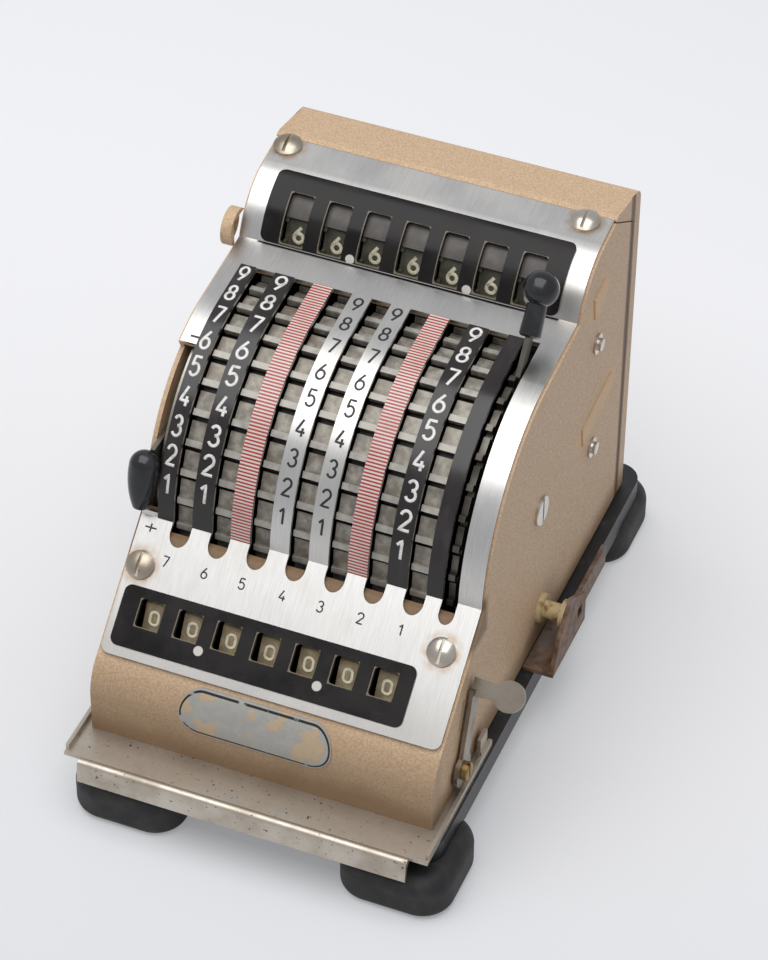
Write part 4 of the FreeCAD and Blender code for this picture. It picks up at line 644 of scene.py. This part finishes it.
def strip_black():
    paint = Finish("strip_black", roughness=0.22)
    scuff = paint.noise(90.0, 5.0, stretch=(1.0, 0.4, 0.4))
    paint.colour(paint.mottle(scuff, 0.5, 0.8, (34, 29, 29), (62, 55, 54)))
    paint.rough(paint.between(scuff, 0.3, 0.8, 0.14, 0.34))
    return paint


def strip_red_lines():
    paint = Finish("strip_red_lines", roughness=0.3)
    back, up = offset(paint, WHEEL)
    around = paint.sum("ARCTAN2", up, back)
    wave = paint.sum("SINE", paint.sum("MULTIPLY", around, TEETH * LINES_TO_A_TOOTH))
    white = paint.mottle(paint.noise(60.0, 4.0), 0.4, 0.8, (218, 208, 199), (190, 178, 168))
    paint.colour(paint.blend(paint.between(wave, -0.25, 0.25), white, (168, 58, 56)))
    return paint


dress(strip_black(), "scale_strips_black")
dress(strip_red_lines(), "scale_strips_striped")
print("strips dressed, a red line every", round(360 / TEETH / LINES_TO_A_TOOTH, 2), "degrees")

# %% [markdown]
# ## Wheels
# Fingers polish the raised ridges, and their tops are painted lighter too, a painted highlight.
# Fingers leave grey grime on the flats, and the gaps are painted black, a painted shadow under
# the ridges. Each face could have its own material, but the three lie at their own distance
# from the shaft, so distance alone tells them apart, and the tones still blend where they meet.

# %% Setting wheels
RIDGE_TOP = 54.6
GAP_FOOT = 52.2


def wheel_metal():
    metal = Finish("wheel_wear_and_painted_shade", roughness=0.5, metallic=0.35)
    reach = length(metal, *offset(metal, WHEEL))
    grime = metal.noise(330.0, 5.0)
    broad = metal.noise(50.0, 3.0)
    ridge = metal.blend(grime, (118, 114, 106), (208, 204, 194))
    metal.colour(metal.coats(
        metal.mottle(grime, 0.35, 0.7, (124, 118, 108), (170, 164, 152)),
        (metal.between(broad, 0.5, 0.75, 0.0, 0.6), (122, 102, 84)),
        # ridge tops: polish and a painted highlight
        (metal.between(reach, RIDGE_TOP - 0.6, RIDGE_TOP), ridge),
        # painted shadow in the gaps below the ridges
        (metal.between(reach, GAP_FOOT, GAP_FOOT + 0.8, 1.0, 0.0), (28, 25, 22)),
    ))
    metal.rough(metal.between(grime, 0.3, 0.8, 0.38, 0.6))
    metal.relief(grime, 0.00008, 0.4)
    return metal


dress(wheel_metal(), *[f"setting_wheel_{k}" for k in range(1, COLUMNS + 1)])
print("finish on", COLUMNS, "wheels")

# %% [markdown]
# ## Nickel, steel and brass
# Bright metals differ in tint and in how clean they are. The nickel plate is fresh on the
# studs, worn on the tray, tarnished on the face screws and dull on the thumb lever, and in
# most places it has pits where the steel under it has begun to rust. One recipe serves them
# all: two tints, how rough, how pitted, and a little less metallic where a grey film lies.

# %% Bright metals
BRIGHT_METALS = [
    ("nickel_plate", (214, 210, 203), (188, 180, 170), 0.24, 0.06, 1.0,
     ["side_studs", "side_screw"]),
    ("tray_nickel", (204, 196, 184), (170, 158, 142), 0.34, 0.12, 0.75, ["base_tray", "tray_tab"]),
    ("tarnished_nickel", (206, 199, 187), (164, 150, 131), 0.3, 0.07, 1.0, ["face_screws"]),
    ("dull_nickel", (164, 154, 141), (116, 106, 94), 0.3, 0.0, 1.0, ["check_clear_lever"]),
    ("bare_steel", (158, 153, 146), (118, 112, 104), 0.4, 0.0, 1.0,
     ["wheel_shaft", "result_shaft", "check_shaft", "frame_left", "frame_right", "sign_lever"]),
    ("grimy_steel", (112, 108, 100), (70, 66, 60), 0.45, 0.0, 1.0, ["clear_lever"]),
    ("dull_brass", (178, 150, 98), (140, 112, 70), 0.34, 0.0, 1.0,
     ["pivot_collar", "pivot_screw"]),
]


def bright_metal(name, light, dark, roughness, pits, metallic):
    metal = Finish(name, roughness=roughness, metallic=metallic)
    cloud = metal.noise(70.0, 5.0)
    tone = metal.mottle(cloud, 0.3, 0.75, light, dark)
    if pits:
        spots = metal.between(metal.noise(700.0, 3.0), 0.78 - pits, 0.82 - pits)
        tone = metal.blend(spots, tone, (90, 60, 40))
    metal.colour(tone)
    metal.rough(metal.between(cloud, 0.3, 0.8, roughness * 0.8, roughness * 1.4))
    return metal


for *recipe, solids in BRIGHT_METALS:
    dress(bright_metal(*recipe), *solids)
print(len(BRIGHT_METALS), "metals on", sum(len(solids) for *_, solids in BRIGHT_METALS), "solids")

# %% [markdown]
# ## Badge plate
# The small plate on the front is grey enamel on brass, left without words here. The enamel
# has flaked off in the middle, and a thin black line runs inside its edge. The plate is a bar
# with round ends, so the distance from its middle line gives that black line, and the solid's
# own box says where the plate is.

# %% Badge
LINE_INSET = 0.7


def badge_enamel():
    paint = Finish("badge_enamel", roughness=0.36, metallic=0.2)
    low, high = [Vector(corner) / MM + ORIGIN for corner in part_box("badge_plate")]
    middle, half = (low + high) / 2, (high - low) / 2
    x, _, z = paint.axes()
    beyond = paint.sum("SUBTRACT", apart(paint, x, middle.x), half.x - half.z)
    beyond = paint.sum("MAXIMUM", beyond, 0.0)
    reach = length(paint, beyond, paint.sum("SUBTRACT", z, middle.z))
    from_line = apart(paint, reach, half.z - LINE_INSET)
    chips = paint.noise(150.0, 6.0)
    unchipped = paint.between(chips, 0.36, 0.42)
    line = paint.sum("MULTIPLY", paint.between(from_line, 0.25, 0.4, 1.0, 0.0), unchipped)
    flaked = paint.between(chips, 0.53, 0.57)
    paint.colour(paint.coats(
        paint.blend(paint.noise(400.0, 4.0), (156, 154, 148), (182, 179, 172)),
        (flaked, paint.blend(chips, (172, 146, 116), (204, 182, 152))),
        (line, (34, 32, 32)),
    ))
    paint.relief(flaked, 0.0001, 0.6)
    return paint


dress(badge_enamel(), "badge_plate")
print("badge dressed")

# %% [markdown]
# ## Black parts, rubber, rust and cream
# The knobs are moulded and glossy. The feet are matt rubber, greyed by dust. The pan under
# the tray is worn black enamel. The bracket has lost its plating and rusted, and the spool on
# it still has cream enamel. The shutter above the result figures is grey-brown. A flat colour
# would do for none of them, so each mixes two tones by a noise of its own size.

# %% Knobs and feet
def moulded_black():
    knob = Finish("moulded_black", roughness=0.14)
    haze = knob.noise(120.0, 4.0)
    knob.colour(knob.mottle(haze, 0.4, 0.8, (26, 27, 29), (48, 48, 50)))
    knob.rough(knob.between(haze, 0.3, 0.8, 0.1, 0.26))
    return knob


def foot_rubber():
    rubber = Finish("foot_rubber", roughness=0.62)
    rubber.colour(rubber.mottle(rubber.noise(140.0, 5.0), 0.35, 0.8, (22, 22, 23), (52, 50, 49)))
    rubber.relief(rubber.noise(1800.0, 2.0), 0.00008, 0.4)
    return rubber


FEET = [f"foot_{end}_{side}" for end in ("front", "rear") for side in ("left", "right")]
dress(moulded_black(), "clear_ball", "sign_knob")
dress(foot_rubber(), *FEET)
print("2 knobs and", len(FEET), "feet")

# %% Pan, bracket, spool and shutter
def old_enamel(name, scale, detail, low, high, first, second):
    enamel = Finish(name, roughness=0.4)
    enamel.colour(enamel.mottle(enamel.noise(scale, detail), low, high, first, second))
    return enamel


def rusted_plate():
    rust = Finish("rusted_plate", roughness=0.55, metallic=0.2)
    crust = rust.noise(260.0, 6.0)
    bare = rust.between(rust.noise(60.0, 3.0), 0.52, 0.66)
    brown = rust.mottle(crust, 0.3, 0.7, (88, 66, 52), (136, 108, 88))
    rust.colour(rust.blend(bare, brown, (132, 120, 111)))
    rust.relief(crust, 0.0002, 0.5)
    return rust


pan_black = old_enamel("pan_black", 160.0, 5.0, 0.5, 0.8, (33, 34, 35), (66, 63, 61))
cream = old_enamel("cream_enamel", 300.0, 5.0, 0.5, 0.72, (206, 184, 140), (140, 98, 52))
shutter = old_enamel("shutter_enamel", 160.0, 4.0, 0.4, 0.7, (66, 61, 57), (90, 83, 76))
dress(pan_black, "sub_base")
dress(cream, "spool")
dress(shutter, "result_shutter")
dress(rusted_plate(), "side_bracket")
print("3 enamels and the rusted bracket")

# %% [markdown]
# ## Numeral drums
# The drum rings are painted, grey-olive above and grey-brown below, as wide as their window.
# Beside that band a drum is bare and black with oil. Both belong to one solid, so the
# distance from the middle of the column tells them apart. The numerals come later, with the
# others.

# %% Drum faces
PAINTED_HALF = 4.5


def drum_paint(name, dark, light, row):
    paint = Finish(name, roughness=0.5)
    cloud = paint.noise(240.0, 5.0)
    oily = paint.between(aside_of_column(paint, row.first), PAINTED_HALF, PAINTED_HALF + 0.2)
    paint.colour(paint.blend(oily, paint.mottle(cloud, 0.35, 0.7, dark, light), (22, 20, 18)))
    paint.relief(cloud, 0.00005, 0.3)
    return paint


olive = drum_paint("drum_olive", (84, 82, 70), (112, 109, 94), RESULT_ROW)
umber = drum_paint("drum_umber", (150, 132, 102), (186, 166, 132), CHECK_ROW)
dress(olive, *[f"result_drum_{k}" for k in range(1, COLUMNS + 1)])
dress(umber, *[f"check_drum_{k}" for k in range(1, COLUMNS + 1)])
print(2 * COLUMNS, "drums painted")

# %% [markdown]
# ## Numerals
# The figures are engraver's figures: strokes of one width with round ends, as a router cuts
# them. A text object would be quicker, but Blender's own font has other shapes, so each figure
# is written here as strokes, a few points or arcs in a box one unit high. A curve with a round
# bevel turns strokes into a solid line, and that is pressed almost flat to look like paint.
# Pressing tubes flat also avoids two surfaces in one plane where strokes cross.

# %% Strokes of the figures
STROKE_BOX = 0.58


def arc(cx, cy, rx, ry, start, end, steps=12):
    turns = [math.radians(start + (end - start) * i / steps) for i in range(steps + 1)]
    return [(cx + rx * math.cos(t), cy + ry * math.sin(t)) for t in turns]


STROKES = {
    "0": [
        arc(0.29, 0.71, 0.29, 0.29, 0, 180) + arc(0.29, 0.29, 0.29, 0.29, 180, 360) + [(0.58, 0.71)]
    ],
    "1": [[(0.08, 0.74), (0.34, 1.0), (0.34, 0.0)]],
    "2": [arc(0.29, 0.72, 0.28, 0.28, 172, -35) + [(0.0, 0.0), (0.6, 0.0)]],
    "3": [arc(0.28, 0.755, 0.245, 0.245, 160, -90), arc(0.28, 0.27, 0.28, 0.27, 88, -160)],
    "4": [[(0.34, 1.0), (0.0, 0.26), (0.6, 0.26)], [(0.42, 0.5), (0.42, 0.0)]],
    "5": [[(0.54, 1.0), (0.1, 1.0), (0.05, 0.55)] + arc(0.28, 0.32, 0.29, 0.32, 132, -155)],
    "6": [[(0.4, 1.0), (0.14, 0.62), (0.03, 0.4)], arc(0.29, 0.29, 0.28, 0.29, 0, 360, 20)],
    "7": [[(0.0, 1.0), (0.57, 1.0), (0.2, 0.0)]],
    "8": [arc(0.29, 0.755, 0.235, 0.245, -90, 270, 18), arc(0.29, 0.265, 0.28, 0.265, 90, 450, 20)],
    "9": [[(0.18, 0.0), (0.44, 0.38), (0.55, 0.6)], arc(0.29, 0.71, 0.28, 0.29, 0, 360, 20)],
    "+": [[(0.0, 0.5), (0.7, 0.5)], [(0.35, 0.15), (0.35, 0.85)]],
    "-": [[(0.0, 0.5), (0.7, 0.5)]],
}
print(len(STROKES), "figures in strokes")

# %% [markdown]
# The strokes become a mesh once for each size. The flattened line is 0.06 mm proud. Long
# straight strokes get more points first, so that they can follow the round of the plate.

# %% From strokes to mesh
PROUD = 0.06
CLOSE = 0.15


def closer(stroke):
    """The same stroke with points no further apart than CLOSE."""
    points = [stroke[0]]
    for start, end in zip(stroke, stroke[1:]):
        parts = max(1, math.ceil(math.dist(start, end) / CLOSE))
        for k in range(1, parts + 1):
            points.append(tuple(a + (b - a) * k / parts for a, b in zip(start, end)))
    return points


def figure(mark, tall, wide, line):
    """Points (across, up, out) and faces of a figure round its own middle, in millimetres."""
    curve = bpy.data.curves.new("strokes", "CURVE")
    curve.dimensions = "3D"
    curve.bevel_depth = line / 2
    curve.bevel_resolution = 1
    curve.use_fill_caps = True
    for stroke in map(closer, STROKES[mark]):
        spline = curve.splines.new("POLY")
        spline.points.add(len(stroke) - 1)
        for point, (u, v) in zip(spline.points, stroke):
            point.co = ((u / STROKE_BOX - 0.5) * (wide - line), (v - 0.5) * (tall - line), 0.0, 1.0)
    holder = bpy.data.objects.new("strokes", curve)
    mesh = bpy.data.meshes.new_from_object(holder)
    points = [(p.co.x, p.co.y, p.co.z * 2 * PROUD / line) for p in mesh.vertices]
    faces = [tuple(face.vertices) for face in mesh.polygons]
    bpy.data.objects.remove(holder)
    bpy.data.curves.remove(curve)
    bpy.data.meshes.remove(mesh)
    return points, faces


print("figures stand", PROUD, "mm proud")

# %% [markdown]
# Many figures on one surface share a paint and move together, so they are collected into one
# piece. Nearly two hundred separate pieces would look the same and be harder to keep in order.

# %% Lettering
def add_piece(name, points, faces, finish, body):
    """A new mesh piece in one finish, on a body of the machine."""
    mesh = bpy.data.meshes.new(name)
    mesh.from_pydata(points, [], faces)
    mesh.materials.append(finish.material)
    made = bpy.data.objects.new(name, mesh)
    scene.collection.objects.link(made)
    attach(made, body)
    return made


class Lettering:
    """Collects figures laid on surfaces and turns them into one painted piece."""

    cache = {}

    def __init__(self):
        self.points, self.faces = [], []

    def lay(self, mark, size, lie):
        """lie turns (across, up, out) in millimetres into a scene point."""
        key = (mark, *size)
        if key not in self.cache:
            self.cache[key] = figure(mark, *size)
        points, faces = self.cache[key]
        start = len(self.points)
        self.points += [lie(*point) for point in points]
        self.faces += [tuple(start + corner for corner in face) for face in faces]

    def piece(self, name, finish, body, slot):
        made = add_piece(name, self.points, self.faces, finish, body)
        made.data.shade_smooth()


def figure_paint(name, colour):
    paint = Finish(name, roughness=0.4)
    darker = tuple(channel * 0.82 for channel in colour)
    paint.colour(paint.mottle(paint.noise(500.0, 4.0), 0.45, 0.75, colour, darker))
    return paint


print("lettering ready")

# %% [markdown]
# Each surface needs its own way to lie. On the sloping panel and on a drum's facet it is a
# flat plane. On the face plate's round it follows the curve, and past the crest the plate
# runs straight, so the way is measured along the sheet from the crest. A Shrinkwrap modifier
# could press the figures on, but it would also catch on the edges of slots and strips.

# %% Ways to lie on a surface
PLATE_ROUND = 56.5
CREST = 95.0


def on_panel(x, up):
    def lie(across, along, out):
        return at(x + across, *panel_point(up + along, out))
    return lie


def along_crest(degrees):
    """Millimetres along the sheet past the crest, negative on the round below it."""
    past = math.radians(CREST - degrees)
    return PLATE_ROUND * (math.tan(past) if past > 0 else past)


def on_face(x, degrees, lift=0.0):
    def lie(across, along, out):
        reach = along_crest(degrees) + along
        height = PLATE_ROUND + lift + out
        if reach <= 0:
            y, z = round_point(WHEEL, height, CREST - math.degrees(reach / PLATE_ROUND))
        else:
            y, z = round_point(WHEEL, height, CREST)
            lean = math.radians(CREST - 90)
            y, z = y + reach * math.cos(lean), z + reach * math.sin(lean)
        return at(x + across, y, z)
    return lie


def on_facet(x, centre, flat, degrees):
    out_y, out_z = math.cos(math.radians(degrees)), math.sin(math.radians(degrees))

    def lie(across, along, out):
        height = flat + out
        y = centre[0] + height * out_y + along * out_z
        z = centre[1] + height * out_z - along * out_y
        return at(x + across, y, z)
    return lie


print("figure nine stands", round(along_crest(82.0), 1), "mm past the crest")

# %% [markdown]
# ## Figures on the face
# The outermost strip and the strips on the first and last bar carry white figures one to
# nine. The two bare bars in the middle have them stamped in black. The column numbers and the
# plus and minus signs are thin black figures. A size is how tall and wide a figure is and how
# thick its line.

# %% Lay the figures on the face
STRIP = 0.3
OUTER_STRIP = -50.4
SLOT_FIRST = -44.2
WHITE_BARS, STAMPED_BARS = (1, 6), (3, 4)
NINE_TURNS = [162.0, 151.9, 142.1, 132.1, 121.8, 112.1, 101.8, 91.3, 82.0]
NUMBER_PLACES = [-46.1, -32.4, -19.3, -5.2, 7.9, 21.6, 35.5]
NUMBER_UP = 33.3
PLUS_PLACE, MINUS_PLACE = (-54.6, 42.6), (-54.2, 112.0)
SIZES = {
    "white": (7.5, 4.5, 1.1),
    "outer": (7.5, 3.9, 1.05),
    "stamped": (6.4, 3.6, 0.8),
    "number": (4.0, 2.5, 0.52),
    "plus": (4.6, 3.8, 0.55),
    "minus": (4.6, 4.4, 0.8),
}


def bar_middle(index):
    """x of the bar to the right of a slot, where the leftmost slot is number one."""
    return SLOT_FIRST + (index - 0.5) * PITCH


white_figures, black_figures = Lettering(), Lettering()
for number, degrees in enumerate(NINE_TURNS, start=1):
    white_figures.lay(str(number), SIZES["outer"], on_face(OUTER_STRIP, degrees, STRIP))
    for bar in WHITE_BARS:
        white_figures.lay(str(number), SIZES["white"], on_face(bar_middle(bar), degrees, STRIP))
    for bar in STAMPED_BARS:
        black_figures.lay(str(number), SIZES["stamped"], on_face(bar_middle(bar), degrees))
for number, x in zip(range(COLUMNS, 0, -1), NUMBER_PLACES):
    black_figures.lay(str(number), SIZES["number"], on_panel(x, NUMBER_UP))
black_figures.lay("+", SIZES["plus"], on_panel(*PLUS_PLACE))
black_figures.lay("-", SIZES["minus"], on_face(*MINUS_PLACE))
white_paint = figure_paint("figure_white", (232, 229, 224))
black_paint = figure_paint("figure_black", (42, 39, 38))
white_figures.piece("white_figures", white_paint, "case", "strip_black")
black_figures.piece("black_figures", black_paint, "case", "face_aluminium")
print(len(white_figures.points), "points of white paint,", len(black_figures.points), "of black")

# %% [markdown]
# ## Figures on the drums
# Each drum has ten facets and turns one facet for each tooth of its wheel. A result drum shows
# six at rest and a check drum nought. The figures ride on their drum, so they turn with it.
# A picture of the right figure behind each window would be simpler, and wrong as soon as a
# wheel is turned.

# %% Lay the figures on the drums
FACETS = 10
DRUM_FLAT = 14.504
DRUM_REACH = 70.5
Drum = namedtuple("Drum", "row centre size shown shown_turn")
DRUMS = {
    "result": Drum(RESULT_ROW, round_point(WHEEL, DRUM_REACH, 50.6), (6.8, 4.7, 1.4), 6, 158.8),
    "check": Drum(CHECK_ROW, round_point(WHEEL, DRUM_REACH, 203.4), (5.5, 4.0, 1.1), 0, 147.7),
}


def drum_figures(stem, column, finish):
    """Ten figures round a drum. Column one is the rightmost."""
    drum = DRUMS[stem]
    x = drum.row.first + (COLUMNS - column) * PITCH
    ring = Lettering()
    for number in range(FACETS):
        degrees = drum.shown_turn + 360 / FACETS * (number - drum.shown)
        ring.lay(str(number), drum.size, on_facet(x, drum.centre, DRUM_FLAT, degrees))
    ring.piece(f"{stem}_figures_{column}", finish, f"{stem}_{column}", "drum_face")


cream_paint = figure_paint("figure_cream", (255, 246, 216))
for column in range(1, COLUMNS + 1):
    for stem in DRUMS:
        drum_figures(stem, column, cream_paint)
print(len(DRUMS) * COLUMNS, "drums with", FACETS, "figures each")

# %% [markdown]
# ## Smooth bars between the upper windows
# The upper surround is bent round the hood, and its narrow bars between the windows are meshed
# with a few long triangles that cut across the bend. The solid's mesh stays as it is, so a
# skin a few hundredths of a millimetre thick lies over each bar. It follows the bend in small
# steps and carries the same paint.

# %% Skin on the bars
BAR_LOW, BAR_HIGH = 26.80, 26.84
BAR_STEPS = 24
BAR_TURNS = [120.0 + 37.0 * k / BAR_STEPS for k in range(BAR_STEPS + 1)]
BAR_CLEAR = 0.05


def bar_skin(left, right, first):
    """Points and faces of one closed skin, its points counted from first."""
    corners = ((left, BAR_LOW), (left, BAR_HIGH), (right, BAR_HIGH), (right, BAR_LOW))
    points = [at(x, *round_point(HOOD, r, turn)) for turn in BAR_TURNS for x, r in corners]
    faces = []
    for ring in range(BAR_STEPS):
        a = first + 4 * ring
        faces += [(a + 4 + i, a + 4 + (i + 1) % 4, a + (i + 1) % 4, a + i) for i in range(4)]
    end = first + 4 * BAR_STEPS
    faces += [(first, first + 1, first + 2, first + 3), (end + 3, end + 2, end + 1, end)]
    return points, faces


skin_points, skin_faces = [], []
for k in range(COLUMNS - 1):
    left = RESULT_ROW.first + k * PITCH + RESULT_ROW.wide / 2 + BAR_CLEAR
    right = RESULT_ROW.first + (k + 1) * PITCH - RESULT_ROW.wide / 2 - BAR_CLEAR
    points, faces = bar_skin(left, right, len(skin_points))
    skin_points += points
    skin_faces += faces
add_piece("result_bars", skin_points, skin_faces, result_surround, "case")
print(COLUMNS - 1, "bars skinned")

# %% [markdown]
# ## Floor
# A wide pale floor carries the shadow. Its colour is painted lighter towards the back, painted
# light, as on a sheet of backdrop paper lit from above. Paper lit from below and behind loses
# part of its shadow, and a share of glow paints that light in. A lamp under the floor would
# light the machine too. The glow is seen only by the camera and by mirror-like reflections, so
# it adds no light.

# %% Floor
GLOW = 0.3
FLOOR_HALF = 6.0
NEAR_EDGE, FAR_EDGE = -180.0, 330.0


def studio_floor():
    h = FLOOR_HALF
    mesh = bpy.data.meshes.new("floor")
    mesh.from_pydata([(-h, -h, 0), (h, -h, 0), (h, h, 0), (-h, h, 0)], [], [(0, 1, 2, 3)])
    floor = bpy.data.objects.new("floor", mesh)
    scene.collection.objects.link(floor)
    paper = Finish("backdrop_paper", roughness=0.9)
    # painted light: the paper's colour grows lighter towards the back
    tone = paper.mottle(paper.axes()[1], NEAR_EDGE, FAR_EDGE, (222, 223, 225), (246, 246, 248))
    ray = paper.add("ShaderNodeLightPath")
    seen = paper.sum("MAXIMUM", ray.outputs["Is Camera Ray"], ray.outputs["Is Glossy Ray"])
    paper.colour(paper.blend(GLOW, tone, (0, 0, 0)))
    paper.put(paper.shader.inputs["Emission Color"], tone)
    paper.put(paper.shader.inputs["Emission Strength"], paper.sum("MULTIPLY", seen, GLOW))
    mesh.materials.append(paper.material)


studio_floor()
print("floor laid,", 2 * FLOOR_HALF, "metres each way")
